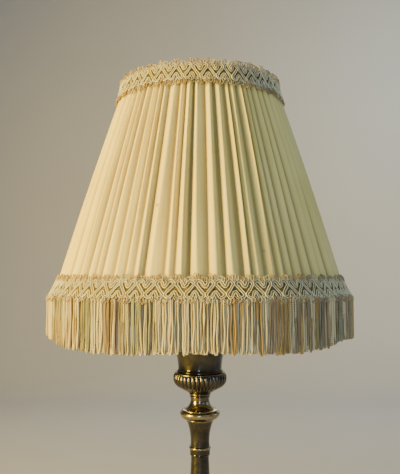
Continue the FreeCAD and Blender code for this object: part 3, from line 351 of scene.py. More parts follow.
# %% [markdown]
# Light makes cloth. A warm light stands far round to the left, so that each fold has a bright
# left side and a grey right side, and cool daylight from the right and the back fills what it
# leaves dark. Brass shows what it mirrors, so a tall narrow strip in front reaches down near
# the floor and draws an upright glint on the column. Two more lights are aimed at the wall.


# %% Lights
LAMP_MIDDLE = Vector((0.0, 0.0, 0.40))
WALL_RIGHT = Vector((0.5, 1.75, 0.7))
WALL_LEFT = Vector((-0.6, 1.75, 0.3))
ROOM_COLOUR = (0.62, 0.78, 1.0, 1.0)
ROOM_STRENGTH = 0.22


def area_light(name, direction, height, distance, size, power, colour, spread=180, at=LAMP_MIDDLE):
    """A plain light on a circle round the lamp. Direction 0 is the viewer's side, in degrees."""
    a = math.radians(direction)
    data = bpy.data.lights.new(name, "AREA")
    data.shape = "RECTANGLE"
    data.size, data.size_y = size
    data.energy = power
    data.color = colour
    data.spread = math.radians(spread)
    made = bpy.data.objects.new(name, data)
    made.location = (distance * math.sin(a), -distance * math.cos(a), height)
    made.rotation_euler = (at - made.location).to_track_quat("-Z", "Y").to_euler()
    made.visible_camera = False
    bpy.context.scene.collection.objects.link(made)


area_light("warm_key", -63, 0.62, 1.7, (0.40, 1.1), 42, (1.0, 0.70, 0.09), 115)
area_light("cool_front", -5, 0.58, 1.1, (0.10, 1.1), 4.2, (0.60, 0.76, 1.0))
area_light("cool_window", 40, 1.5, 2.4, (1.6, 1.6), 8, (0.48, 0.68, 1.0))
area_light("cool_side", 100, 0.9, 2.2, (1.2, 1.2), 6, (0.48, 0.68, 1.0))
area_light("cool_back", 178, 1.2, 1.5, (0.9, 0.9), 4, (0.80, 0.90, 1.0), 110)
area_light("wall_cool", 122, 1.3, 1.35, (0.5, 0.5), 6, (0.70, 0.89, 1.0), 140, WALL_RIGHT)
area_light("wall_warm", -122, 0.9, 1.35, (0.5, 0.5), 0.6, (1.0, 0.78, 0.45), 140, WALL_LEFT)
world = bpy.data.worlds.new("room")
world.use_nodes = True
room = world.node_tree.nodes["Background"]
room.inputs["Color"].default_value = ROOM_COLOUR
room.inputs["Strength"].default_value = ROOM_STRENGTH
bpy.context.scene.world = world
print("7 lights and a dim room")

# %% [markdown]
# The cover is thin silk, gathered into folds that are close and never alike. It could be
# simulated, but the maker stretched it by hand between two rings, and the result is regular
# enough to be drawn: a grid is wrapped round the cone, and each vertex is pushed out by
# the fold it lies in. A fold rises quickly on its left, rolls over and falls away to
# the right, where the next one starts.

# %% Fold lines round the cover
FRONT_FOLDS_MM = (
    *(9.5, 18.9, 14.0, 11.1, 8.9, 14.7, 11.8, 9.1, 10.7, 17.9, 9.7, 12.6),
    *(17.2, 14.3, 16.1, 7.9, 13.8, 11.6, 8.8, 9.5, 13.1, 14.0, 12.0, 18.0),
)
FRONT_START = math.radians(61.4)  # the first starts this far left of the middle
BACK_FOLDS = 45
FOLD_DEPTH = 3.2 * MM  # the thin silk can dip deeper than the solid's folds
FOLD_SWELL = 1.3 * MM  # and it billows out between the rings


def fold_starts():
    """The angle at which each fold starts, once round, the first one twice."""
    front = [w * MM / cover_cone.low_r for w in FRONT_FOLDS_MM]
    back = [
        1 + 0.30 * math.sin(2.4 * k) + 0.18 * math.sin(5.3 * k + 1.0)
        for k in range(BACK_FOLDS)
    ]
    left = 2 * math.pi - sum(front)
    angles = [FRONT - FRONT_START]
    for w in front + [b * left / sum(back) for b in back]:
        angles.append(angles[-1] + w)
    return angles


FOLD_STARTS = fold_starts()
print(len(FOLD_STARTS) - 1, "folds")


# %% The gathered cover
def drift(*place):
    """Smooth noise from -1 to 1 at up to three numbers."""
    return noise.noise(Vector((*place, 0.0, 0.0)[:3]))


def round_drift(angle, turns, along):
    """The same, but equal after a full turn."""
    return noise.noise(Vector((turns * math.cos(angle), turns * math.sin(angle), along)))


def fold_at(angle):
    """Number of the fold at an angle, its width, and the share of it that lies behind."""
    start = FOLD_STARTS[0]
    angle = start + (angle - start) % (2 * math.pi)
    low, high = 0, len(FOLD_STARTS) - 1
    while high - low > 1:
        middle = (low + high) // 2
        if FOLD_STARTS[middle] <= angle:
            low = middle
        else:
            high = middle
    width = FOLD_STARTS[low + 1] - FOLD_STARTS[low]
    return low, width, (angle - FOLD_STARTS[low]) / width


def silk_relief(angle, up):
    """How far out the silk lies over its root, how far it leans left, and how exposed it is."""
    wander = 0.0050 * round_drift(angle, 9.0, 1.6 * up)
    k, width, t = fold_at(angle + wander)
    crest = 0.50 + 0.22 * drift(k * 3.7, 0.9 * up)
    depth = FOLD_DEPTH * min(1.0, 0.95 + 0.35 * drift(k * 5.1 + 0.5, 1.3 * up))
    depth *= min(1.0, 0.55 + 0.45 * width * cover_cone.low_r / (10 * MM))
    depth += FOLD_SWELL * math.sin(math.pi * up) * (1 + 0.5 * drift(k * 1.9, 0.8 * up, 2.0))
    if t < crest:
        rise = (t / crest) ** 0.6
    else:
        back = (t - crest) / (1 - crest)
        rise = 1 - back ** (1.15 + 0.8 * drift(k * 2.9 + 0.3, 0.7 * up, 7.0))
        second = max(0.0, drift(k * 2.3, 0.6 * up, 4.0) + 0.18)
        rise += 0.60 * second * math.sin(2 * math.pi * back)
    fine = 0.22 * MM * round_drift(angle, 30.0, 0.7 * up)
    fine += 0.13 * MM * round_drift(angle, 80.0, 1.1 * up)
    return depth * rise + fine - 0.2 * MM, 0.13 * width * rise, rise


COVER_SEGMENTS = 1500
COVER_ROWS = 24


def wrapped_grid(segments, rows):
    """A flat grid, 1 by 1, whose X will go round the lamp and whose Y goes up."""
    bm = bmesh.new()
    bmesh.ops.create_grid(bm, x_segments=segments, y_segments=rows, size=0.5)
    bmesh.ops.translate(bm, verts=bm.verts, vec=(0.5, 0.5, 0.0))
    return bm


def close_round(bm, place):
    """Sends each vertex (share round, share up) to its place and sews up the seam."""
    for v in bm.verts:
        v.co = place(v, v.co.x * 2 * math.pi, v.co.y)
    bmesh.ops.remove_doubles(bm, verts=bm.verts, dist=1e-6)
    bmesh.ops.recalc_face_normals(bm, faces=bm.faces)


def gathered_cover():
    bm = wrapped_grid(COVER_SEGMENTS, COVER_ROWS)
    exposed = bm.verts.layers.float.new("exposed")  # 1 on a crest, 0 in a valley

    def place(v, angle, up):
        out, lean, rise = silk_relief(angle, up)
        v[exposed] = rise
        return cover_cone.at(angle - lean, up * cover_cone.width, out - FOLD_DEPTH)

    close_round(bm, place)
    return link("silk_cover", bm)


silk_cover = gathered_cover()
thickness = silk_cover.modifiers.new("cloth thickness", "SOLIDIFY")
thickness.thickness = 0.3 * MM
thickness.offset = -1
print("silk:", len(silk_cover.data.polygons), "faces")

# %% [markdown]
# Aged silk isn't one colour. It is cream, with painted shade that darkens the valleys of the
# folds, thin slubs along the weave, faint streaks down the folds and a few brown spots. Each
# spot is a soft disc in the cloth's own measures, round and up.

# %% Silk finish
STAINS = (  # degrees right of the middle, height and radius in mm, and strength
    (-17.4, 419.2, 2.4, 0.75),
    (-9.4, 459.4, 1.0, 0.55),
    (6.5, 466.7, 1.1, 0.60),
    (27.0, 494.4, 1.3, 0.60),
    (-25.9, 421.9, 1.1, 0.45),
    (17.8, 384.8, 2.2, 0.30),
    (23.8, 380.4, 2.0, 0.45),
    (142.0, 402.0, 1.6, 0.40),
    (-131.0, 455.0, 1.2, 0.45),
)


def silk_finish():
    silk = Finish("aged_silk")
    angle, _, height = silk.round_place()
    streaks = silk.noise(420.0, 3.0, silk.wrapped(0.11, 0.05))
    slubs = silk.noise(1300.0, 2.0, silk.wrapped(0.006, 1.0))
    clouds = silk.noise(14.0, 3.0)
    valley_shade = 1 - silk.attribute("exposed")
    colour = silk.mix(clouds.smooth(0.35, 0.75), (0.87, 0.74, 0.25), (0.82, 0.66, 0.19))
    colour = silk.mix(streaks.smooth(0.42, 0.8) * 0.30, colour, (0.68, 0.50, 0.12))
    colour = silk.mix(slubs.smooth(0.60, 0.8) * 0.16, colour, (0.93, 0.85, 0.45))
    # painted shade: the silk turns dark brown in each fold's valley, where the folds shade each
    # other
    colour = silk.mix(valley_shade.smooth(0.22, 0.95) * 0.85, colour, (0.37, 0.27, 0.08))
    low, high = cover_cone.low_z, cover_cone.high_z
    edges = (1 - height.smooth(low, low + 0.035)).max(height.smooth(high - 0.030, high))
    colour = silk.mix(edges * 0.25, colour, (0.62, 0.45, 0.12))
    for degrees, z_mm, r_mm, strength in STAINS:
        at = math.radians(degrees) - math.pi / 2
        across = (angle - at) * cover_cone.radius((z_mm * MM - low) / (high - low))
        off = across.hypot(height - z_mm * MM)
        wobble = silk.noise(600.0, 2.0) * (0.9 * r_mm * MM)
        spot = 1 - (off + wobble).smooth(0.5 * r_mm * MM, 1.5 * r_mm * MM)
        colour = silk.mix(spot * strength, colour, (0.30, 0.16, 0.05))
    silk.set(
        Base_Color=colour,
        Roughness=0.50,
        Sheen_Weight=0.25,
        Sheen_Roughness=0.4,
        Sheen_Tint=(0.85, 0.93, 1.0),
        Specular_IOR_Level=0.35,
    )
    threads = silk.noise(2600.0, 2.0, silk.wrapped(0.11, 1.0))
    silk.bump(threads * 0.5 + slubs * 0.6 + streaks * 0.8, 0.12 * MM, 0.7)
    return silk.material


silk_cover.data.materials.append(silk_finish())
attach(silk_cover, "shade")
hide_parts("pleated_cover")
print("silk finish:", len(STAINS), "spots")


# %% [markdown]
# The lining is plain cloth stretched inside the frame. From below and from above it shows
# as a smooth cone, drawn tight over the eight ribs, so it bows a little between them.


# %% Lining
RIBS = 8
LINING_SEGMENTS = 192
LINING_ROWS = 22


def stretched_lining():
    bm = wrapped_grid(LINING_SEGMENTS, LINING_ROWS)

    def place(_, angle, up):
        between = math.cos(RIBS * angle)  # 1 at mid-span, -1 at a rib
        sag = 0.7 * MM * (1 + between) * math.sin(math.pi * up)
        ripple = 0.10 * MM * round_drift(angle, 12.0, 3.0 * up)
        return lining_cone.at(angle, up * lining_cone.width, -0.25 * MM - sag + ripple)

    close_round(bm, place)
    return link("lining_cloth", bm)


lining = stretched_lining()
wall = lining.modifiers.new("cloth thickness", "SOLIDIFY")
wall.thickness = 0.35 * MM
wall.offset = -1


def lining_finish():
    cloth = Finish("lining_cloth")
    angle, _, height = cloth.round_place()
    warp = (angle * 1500.0).sin()
    weft = (height * (2 * math.pi / (0.45 * MM))).sin()
    clouds = cloth.noise(18.0, 3.0)
    colour = cloth.mix(clouds.smooth(0.3, 0.8), (0.83, 0.77, 0.62), (0.74, 0.66, 0.48))
    cloth.set(Base_Color=colour, Roughness=0.8, Sheen_Weight=0.15, Specular_IOR_Level=0.25)
    cloth.bump(warp * 0.3 + weft * 0.3 + clouds * 0.2, 0.08 * MM, 0.6)
    return cloth.material


lining.data.materials.append(lining_finish())
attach(lining, "shade")
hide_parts("shade_lining")
print("lining:", len(lining.data.polygons), "faces")

# %% [markdown]
# A scroll braid is a pair of thin cream cords on a woven ground, with a darker cord sunk between
# them that paints the shade in the groove between the two. The pair runs as one endless line: it
# curls over the top of a heart, crosses down the diagonal and curls under the next. Turned upside
# down and moved half a period on, the line is the same, so eight listed points give all of it.
# They are smoothed and repeated round the cone, and a curve with a round bevel makes each cord.

# %% The line of the scroll, a quarter of a period, in millimetres
QUARTER_SCROLL = (
    *((0.0, 2.1), (1.5, 3.7), (2.5, 6.0), (4.3, 7.5), (6.4, 6.5), (7.2, 4.4), (5.6, 2.1)),
    (4.075, 0.0),
)
SCROLL_MIRROR_X = 8.15
SCROLL_PERIOD = 2 * SCROLL_MIRROR_X
CORD_R = 0.34 * MM
GROOVE_SHADE_R = 0.48 * MM
CORD_OFFSET = 0.92  # from the pair's middle line to each cord's, mm
CORD_STEPS = 3  # stretches between two points of the line


def scroll_line():
    """One period of the pair's middle line, flat."""
    turned = [(SCROLL_MIRROR_X - x, -y) for x, y in reversed(QUARTER_SCROLL[:-1])]
    half = [*QUARTER_SCROLL, *turned]
    return [*half, *[(SCROLL_PERIOD - x, y) for x, y in reversed(half[1:-1])]]


def smooth_line(points, period, steps):
    """A repeating line's points joined by Catmull-Rom curves."""
    count = len(points)

    def at(k):
        x, y = points[k % count]
        return Vector((x + period * (k // count), y))

    line = []
    for k in range(count):
        a, b, c, d = (at(k + n) for n in (-1, 0, 1, 2))
        for n in range(steps):
            t = n / steps
            bend = (2 * a - 5 * b + 4 * c - d) * t**2 + (3 * b - a - 3 * c + d) * t**3
            line.append(0.5 * (2 * b + (c - a) * t + bend))
    return line


def beside(points, period, offset):
    """A line that runs beside a repeating one, at an even distance."""
    shifted = []
    count = len(points)
    for k, here in enumerate(points):
        before, after = Vector(points[k - 1]), Vector(points[(k + 1) % count])
        before.x -= period if k == 0 else 0
        after.x += period if k == count - 1 else 0
        run = (after - before).normalized()
        shifted.append(here + Vector((-run.y, run.x)) * offset)
    return shifted


print(len(scroll_line()), "points in one period of the scroll")


# %% Cords as bevelled curves
def cord_curve(name, lines, radius, closed=True, sides=1, steps=2, kind="NURBS", radii=None):
    """Round cords along lines of points, turned into one mesh."""
    data = bpy.data.curves.new(name, "CURVE")
    data.dimensions = "3D"
    data.bevel_depth = radius
    data.bevel_resolution = sides
    data.resolution_u = steps
    data.use_fill_caps = not closed
    for number, line in enumerate(lines):
        spline = data.splines.new(kind)
        spline.points.add(len(line) - 1)
        for k, (point, place) in enumerate(zip(spline.points, line)):
            point.co = (*place, 1.0)
            point.radius = radii[number][k] if radii else 1.0
        spline.use_cyclic_u = closed
        if kind == "NURBS":
            spline.order_u = 3
            spline.use_endpoint_u = not closed
    holder = bpy.data.objects.new(name, data)
    bpy.context.scene.collection.objects.link(holder)
    bpy.context.view_layer.update()
    shown = holder.evaluated_get(bpy.context.evaluated_depsgraph_get())
    mesh = bpy.data.meshes.new_from_object(shown)
    bpy.data.objects.remove(holder)
    bpy.data.curves.remove(data)
    mesh.name = name
    for face in mesh.polygons:
        face.use_smooth = True
    made = bpy.data.objects.new(name, mesh)
    bpy.context.scene.collection.objects.link(made)
    return made


def scroll_cords(name, cone, repeats, middle_up, seed, offsets, radius, lift):
    """Cords that follow the scroll of one braid at some offsets from its middle line."""
    flat = smooth_line(scroll_line(), SCROLL_PERIOD, CORD_STEPS)
    lines = []
    for offset in offsets:
        line = []
        for k in range(repeats):
            for n, (x, y) in enumerate(beside(flat, SCROLL_PERIOD, offset)):
                angle = 2 * math.pi * (k + x / SCROLL_PERIOD) / repeats
                angle += 0.0032 * round_drift(angle, 24.0, seed + 0.1 * y)
                up = middle_up + (y + 0.65 * round_drift(angle, 31.0, seed + 0.2 * x)) * MM
                over = 0.28 * MM * math.sin(2 * math.pi * n / len(flat) + offset)
                line.append(cone.at(angle, up, over + lift))
        lines.append(line)
    return cord_curve(name, lines, radius, kind="POLY")


print("cord helpers ready")

# %% [markdown]
# Fans of little loops stand on both edges, one fan over each place where two curls touch.
# Each loop is a closed teardrop, and the loops of a fan differ in dye: cream, gold and tan.

# %% Fans of loops along an edge
FAN_LOOPS = 7  # in one period
LOOP_R = 0.46 * MM
LOOP_SHAPE = ((0, 0), (-0.9, 0.4), (-1, 0.85), (0, 1.1), (1, 0.85), (0.9, 0.4))  # across, up
LOOP_BASE_MM = 6.8  # a fan's middle loop, from the braid's middle line to its root
LOOP_TIP_MM = 13.3  # and to its tip
LOOP_DYES = (0.06, 0.15, 0.18, 0.72, 0.92, 0.97, 0.99)  # along the yarn's ramp, as DYES are
DYES = {"cream": 0.08, "sage": 0.36, "gold": 0.64, "tan": 0.92}


def paint(piece, dyes):
    """Stores each loop's dye on its vertices, and how far along the loop each vertex lies."""
    dye = piece.data.attributes.new("dye", "FLOAT", "POINT")
    along = piece.data.attributes.new("along", "FLOAT", "POINT")
    each = len(piece.data.vertices) // len(dyes)
    for k in range(len(piece.data.vertices)):
        dye.data[k].value = dyes[k // each]
        along.data[k].value = k % each / each


def fan_loops(name, cone, repeats, middle_up, sign, seed):
    """Teardrop loops in fans; sign is 1 for the upper edge and -1 for the lower."""
    rng = random.Random(seed)
    lines, dyes = [], []
    period = 2 * math.pi / repeats
    first = 0.5 if sign > 0 else 0.0
    for k in range(repeats):
        for n in range(FAN_LOOPS):
            j = n - (FAN_LOOPS - 1) / 2
            base = (LOOP_BASE_MM - 0.15 * j * j) * MM
            tip = (LOOP_TIP_MM - 0.33 * j * j + rng.uniform(-1.4, 0.6)) * MM
            lean = (0.35 * j + rng.uniform(-0.7, 0.7)) * MM / cone.low_r
            wide = rng.uniform(0.8, 1.25) * MM / cone.low_r
            middle = period * (k + first + j / FAN_LOOPS)
            out = rng.uniform(-0.9, 0.3) * MM
            line = []
            for across, share in LOOP_SHAPE:
                up = middle_up + sign * (base + (tip - base) * share)
                angle = middle + lean * share + wide * across
                line.append(cone.at(angle, up, out + 0.5 * MM * across + 0.5 * MM * share))
            lines.append(line)
            dyes.append(rng.choice(LOOP_DYES))
    row = cord_curve(name, lines, LOOP_R, sides=0, steps=2)
    paint(row, dyes)
    return row


print("loop helper ready")


# %% [markdown]
# Under the cords lies the woven ground. It shows between them as an olive and tan ribbed
# band, so it needs a body and a finish, but no threads of its own: its ribs are in the bump.
# A flat ring of four corners, with its outer side divided in six, is spun round the axis.


# %% Ground bands
BAND_STEPS = 180


def spun_band(name, cone, inner, outer, low_up, high_up):
    """A closed band on a cone, from one distance out to another, spun round the axis."""
    bm = bmesh.new()
    corners = [(low_up, inner), (low_up, outer), (high_up, outer), (high_up, inner)]
    ring = [bm.verts.new(cone.at(0.0, up, out)) for up, out in corners]
    edges = [bm.edges.new((ring[k], ring[(k + 1) % 4])) for k in range(4)]
    bmesh.ops.subdivide_edges(bm, edges=[edges[1]], cuts=5)
    bmesh.ops.spin(
        bm,
        geom=bm.verts[:] + bm.edges[:],
        cent=(0, 0, 0),
        axis=(0, 0, 1),
        angle=2 * math.pi,
        steps=BAND_STEPS,
        use_merge=True,
        use_duplicate=False,
    )
    bmesh.ops.remove_doubles(bm, verts=bm.verts, dist=1e-6)
    bmesh.ops.recalc_face_normals(bm, faces=bm.faces)
    return link(name, bm)


def ground_finish(name, light, dark):
    band = Finish(name)
    angle, _, height = band.round_place()
    ribs = (angle * (0.15 / (1.1 * MM)) * 2 * math.pi).sin()
    rows = (height * (2 * math.pi / (1.4 * MM))).sin()
    mottle = band.noise(260.0, 3.0)
    share = (ribs * 0.25 + rows * 0.15 + mottle).smooth(0.25, 0.85)
    band.set(
        Base_Color=band.mix(share, dark, light), Roughness=0.85, Specular_IOR_Level=0.2
    )
    band.bump(ribs * 0.5 + rows * 0.3 + mottle * 0.5, 0.5 * MM, 0.9)
    return band.material


def cord_finish(name, light, deep):
    """Yarn from close by: fine fibres in the bump, and colour that drifts along."""
    cord = Finish(name)
    fibres = cord.noise(1900.0, 2.0)
    drifted = cord.noise(90.0, 2.0)
    age = cord.noise(22.0, 2.0)
    colour = cord.mix(drifted.smooth(0.3, 0.75), light, deep)
    colour = cord.mix(age.smooth(0.5, 0.8) * 0.3, colour, (0.42, 0.34, 0.17))
    cord.set(Base_Color=colour, Roughness=0.5, Sheen_Weight=0.3, Specular_IOR_Level=0.45)
    cord.bump(fibres, 0.25 * MM, 0.8)
    return cord.material


GROUND = ground_finish("braid_ground", (0.40, 0.31, 0.12), (0.075, 0.052, 0.015))
CREAM_CORD = cord_finish("cream_cord", (0.86, 0.81, 0.50), (0.78, 0.69, 0.36))
# painted shade: a dark brown cord, sunk between the cream pair, stands for the shade in their
# groove
GROOVE_SHADE_CORD = cord_finish("groove_shade_cord", (0.36, 0.27, 0.08), (0.22, 0.16, 0.045))


def yarn_finish(name, pitch):
    """Twisted, shiny yarn whose colour follows the dye stored on each strand, with painted shade on
    one side of each turn of the twist, and darker at each loop's bend.
    """
    yarn = Finish(name)
    colour = yarn.ramp(
        yarn.attribute("dye"),
        (
            (0.0, (0.88, 0.80, 0.48)),
            (0.20, (0.78, 0.66, 0.32)),
            (0.30, (0.26, 0.27, 0.15)),
            (0.45, (0.44, 0.44, 0.24)),
            (0.55, (0.46, 0.29, 0.07)),
            (0.74, (0.66, 0.45, 0.13)),
            (0.85, (0.27, 0.19, 0.09)),
            (1.0, (0.60, 0.45, 0.25)),
        ),
    )
    angle, _, height = yarn.round_place()
    twist = (height * (2 * math.pi / pitch) + angle * 400.0).sin()
    fibres = yarn.noise(1500.0, 2.0)
    # painted shade: one side of each turn of the twist is darkened, where the plies shade each
    # other
    colour = yarn.mix((0 - twist).smooth(0.0, 1.0) * 0.60, colour, (0.20, 0.12, 0.03))
    bend = (yarn.attribute("along") - 0.5).abs()
    colour = yarn.mix((1 - bend.smooth(0.02, 0.09)) * 0.65, colour, (0.17, 0.10, 0.03))
    yarn.set(Base_Color=colour, Roughness=0.42, Sheen_Weight=0.2, Specular_IOR_Level=0.5)
    yarn.bump(twist * 0.6 + fibres * 0.4, 0.35 * MM, 0.9)
    return yarn.material


YARN = yarn_finish("fringe_yarn", 1.8 * MM)
LOW_REPEATS = 57  # hearts in one turn
TOP_REPEATS = 36
GROUND_HALF = 8.2 * MM  # half the ground's width
GROUND_INNER, GROUND_OUTER = -1.4 * MM, -0.7 * MM  # its two faces, from the braid's own face
GROOVE_SHADE_LIFT = -0.42 * MM


def braid(prefix, cone, repeats, node, seed):
    """A whole braid: its ground, its scroll cords with a dark cord of painted shade between them,
    and two rows of fans.
    """
    middle = 0.5 * cone.width
    low, high = middle - GROUND_HALF, middle + GROUND_HALF
    ground = spun_band(prefix + "_ground", cone, GROUND_INNER, GROUND_OUTER, low, high)
    ground.data.materials.append(GROUND)
    cords = (-CORD_OFFSET, CORD_OFFSET)
    scroll = scroll_cords(prefix + "_scroll", cone, repeats, middle, seed, cords, CORD_R, 0.0)
    scroll.data.materials.append(CREAM_CORD)
    # painted shade: the dark cord that fills the groove between the two cream cords
    groove_shade = scroll_cords(prefix + "_core", cone, repeats, middle, seed, (0.0,), GROOVE_SHADE_R, GROOVE_SHADE_LIFT)
    groove_shade.data.materials.append(GROOVE_SHADE_CORD)
    upper = fan_loops(prefix + "_loops_up", cone, repeats, middle, 1, seed + 1)
    lower = fan_loops(prefix + "_loops_down", cone, repeats, middle, -1, seed + 2)
    for row in (upper, lower):
        row.data.materials.append(YARN)
    pieces = [ground, scroll, groove_shade, upper, lower]
    for piece in pieces:
        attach(piece, "shade")
        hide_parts(node)
    print(prefix, [len(piece.data.polygons) for piece in pieces], "faces")
    return pieces


trim = braid("low_braid", low_braid_cone, LOW_REPEATS, "bottom_braid", 11)
trim += braid("top_braid", top_braid_cone, TOP_REPEATS, "top_braid", 23)

# %% [markdown]
# The heading is the woven tape that the strands are sewn into. The braid hides its face, but
# its lower edge shows between the strands, so it is made as a band of its own.

# %% Fringe heading
heading = spun_band("heading_tape", heading_cone, -0.9 * MM, 0.0, 0.0, heading_cone.width)
heading.data.materials.append(
    ground_finish("heading_weave", (0.55, 0.46, 0.27), (0.30, 0.23, 0.11))
)
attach(heading, "shade")
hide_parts("fringe_heading")
trim.append(heading)

# %% [markdown]
# The fringe is made of long loops, not of cut ends: each yarn runs down, turns in a narrow U
# and runs up again. Three rows hang one behind another, so that dark gaps show only near the
# hem. The yarns waver and cross, and the hem, sewn by hand, isn't level. Each loop has one
# dye, stored as an attribute, because the finish has to know which loop it is on.

# %% Fringe
YARN_R = 0.80 * MM
STRAND_TOP = fringe_high.z + 2.2 * MM
FRINGE_R = fringe_high.x
FRINGE_ROWS = (  # how far in the row hangs, loops in it, and how far it stops short
    (0.9 * MM, 250, 0.0),
    (2.4 * MM, 262, 0.6 * MM),
    (3.9 * MM, 285, 1.0 * MM),
)
LEG_SHARES = (0.0, 0.2, 0.42, 0.64, 0.84, 0.965)  # points of one leg, from the top down
LOOP_POINTS = 2 * len(LEG_SHARES) + 1
DYE_WEIGHTS = (46, 18, 21, 15)  # for the four of DYES, in their order
DYE_CHANGES = 0.75  # how often a dye is drawn anew; a strand else takes its neighbour's
HEM = (  # degrees right of the middle, and how far the hem lies above its mean, mm
    *((-180, 0.0), (-120, -1.0), (-84, 4.5), (-66, 3.0), (-50, -2.2), (-34, -3.6)),
    *((0, -1.0), (32, -3.2), (43, -1.4), (58, 3.2), (80, 1.4), (130, 1.0), (180, 0.0)),
)


def hem_rise(angle):
    """Height of the wavering hem over its mean."""
    degrees = (math.degrees(angle - FRONT) + 180) % 360 - 180
    for (a, low), (b, high) in zip(HEM, HEM[1:]):
        if a <= degrees <= b:
            t = (degrees - a) / (b - a)
            return (low + (high - low) * t * t * (3 - 2 * t)) * MM
    return 0.0


def yarn_loop(angle, inset, short, rng):
    """Points of one loop: down one leg, round the bend and up the other."""
    gap = rng.uniform(1.7, 2.6) * MM / FRINGE_R
    low = fringe_low.z - 0.2 * MM + short + hem_rise(angle) + rng.uniform(-0.7, 0.9) * MM
    r = FRINGE_R - inset + rng.uniform(-0.25, 0.25) * MM
    key = rng.uniform(0, 500)
    drop = STRAND_TOP - low
    line = []
    for leg in (-1, 1):
        points = []
        for share in LEG_SHARES:
            clump = 1.7 * round_drift(angle, 26.0, 0.9 * share + inset * 900) * share
            bend = 1.9 * drift(key + 7.0 * leg, 2.6 * share) * min(1.0, 4 * share)
            spread = 0.5 * gap * leg * (0.75 + 0.35 * math.sin(math.pi * share))
            a = angle + spread + (clump + bend) * MM / FRINGE_R
            swing = (0.7 * round_drift(angle, 30.0, 2.0 + share) * share + 0.3 * leg) * MM
            z = STRAND_TOP - drop * share
            points.append(Vector(((r + swing) * math.cos(a), (r + swing) * math.sin(a), z)))
        line.append(points)
    bottom = (line[0][-1] + line[1][-1]) / 2
    bottom.z = low
    return [*line[0], bottom, *reversed(line[1])]


def fringe_row(number, inset, count, short):
    rng = random.Random(400 + number)
    lines, radii, dyes = [], [], []
    dye = DYES["cream"]
    for k in range(count):
        if rng.random() < DYE_CHANGES:
            dye = rng.choices(list(DYES.values()), weights=DYE_WEIGHTS)[0]
        angle = 2 * math.pi * (k + rng.uniform(-0.3, 0.3)) / count
        lines.append(yarn_loop(angle, inset, short, rng))
        radii.append([rng.uniform(0.85, 1.15)] * LOOP_POINTS)
        dyes.append(min(0.999, max(0.0, dye + rng.uniform(-0.07, 0.07))))
    row = cord_curve(
        f"fringe_loops_{number}", lines, YARN_R, closed=False, sides=0, steps=1, radii=radii
    )
    paint(row, dyes)
    return row


for number, (inset, count, short) in enumerate(FRINGE_ROWS, 1):
    row = fringe_row(number, inset, count, short)
    row.data.materials.append(YARN)
    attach(row, "shade")
    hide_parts("fringe")
    trim.append(row)
    print(row.name, len(row.data.polygons), "faces")

# %% [markdown]
# The cover's cut is a rectangle as long as its folds laid out flat at the lower edge. The
# lining is cut to the cone out of a rectangle, so its own area is smaller.

GATHERED = 1.15  # an estimate of the folds' length, laid flat, over the way round
LINING_SHARE = 0.78  # of its rectangle
COVER_CUT = (2 * math.pi * cover_cone.low_r * GATHERED, cover_cone.width)
LINING_CUT = (2 * math.pi * lining_cone.low_r, lining_cone.width)
LINING_SHARE * LINING_CUT[0] * LINING_CUT[1]
for label, cut in (("cover", COVER_CUT), ("lining", LINING_CUT)):
    print(label, "cut", [round(v, 3) for v in cut])


# %% [markdown]
# The column is brass that has gone brown. Dark patina lies in every hollow, and
# the metal shows through where cloths have rubbed: on the widest rings and on the lobes.
# How close a point is to its piece's widest radius says how worn it is, and noise breaks
# the edge of that band. Fine rings from the lathe run round, so they are noise stretched
# round the axis.


# %% Antique brass
def antique_brass(node, worn_depth, worn):
    """The finish of one turned piece; the wear starts this far inside its widest radius."""
    brass = Finish("antique_brass_" + node)
    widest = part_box(node)[1].x
    _, radius, height = brass.round_place()
    cloud = brass.noise(55.0, 4.0, rough=0.6)
    speck = brass.noise(420.0, 3.0, rough=0.6)
    turning = brass.noise(2300.0, 2.0, brass.vector(0.0, 0.0, height))
    rub = (radius + (cloud - 0.5) * (1.2 * MM)).smooth(widest - worn_depth, widest)
    tone = (cloud * 0.7 + speck * 0.3).smooth(0.30, 0.72)
    colour = brass.mix(tone, (0.032, 0.030, 0.027), (0.130, 0.116, 0.088))
    colour = brass.mix(rub * (0.75 * worn), colour, (0.46, 0.37, 0.20))
    grime = speck.smooth(0.60, 0.78) * (1 - rub)
    colour = brass.mix(grime * 0.6, colour, (0.020, 0.017, 0.012))
    rough = cloud * 0.10 + grime * 0.25 + rub * 0.08 + 0.12
    brass.set(Base_Color=colour, Metallic=1.0, Roughness=rough, Coat_Weight=0.25)
    brass.bump(turning * 0.5 + speck * 0.5 - grime * 0.6, 0.030 * MM, 0.6)
    return brass.material


def give(node, material):
    """Puts a material on every slot of a solid."""
    slots = nodes[node].material_slots
    for slot in slots:
        slot.material = material
    if not slots:
        nodes[node].data.materials.append(material)


TURNED = {  # node: (depth of the worn band in mm, how worn)
    "foot_plate": (1.2, 0.8),
    "foot_gadroon_ring": (1.8, 0.9),
    "foot_dome": (1.5, 0.6),
    "base_collar": (1.2, 1.0),
    "column_shaft": (1.0, 0.4),
    "astragal_ring": (0.8, 1.0),
    "column_neck": (1.2, 0.8),
    "knop": (2.6, 1.0),
    "urn_stem": (16.0, 1.0),
    "gadroon_bowl": (0.6, 0.25),
    "bowl_shoulder": (1.0, 0.5),
    "candle_cup": (0.8, 0.12),
    "cup_lid": (1.2, 0.6),
    "finial_knob": (1.4, 1.0),
}
for node, (depth, worn) in TURNED.items():
    give(node, antique_brass(node, depth * MM, worn))
print(len(TURNED), "pieces of antique brass")


# %% [markdown]
# Inside the shade the metal is plainer and brighter: lacquered brass on the lampholder and
# the harp, zinc on the pipe and nuts, white enamel on the shade's wire.


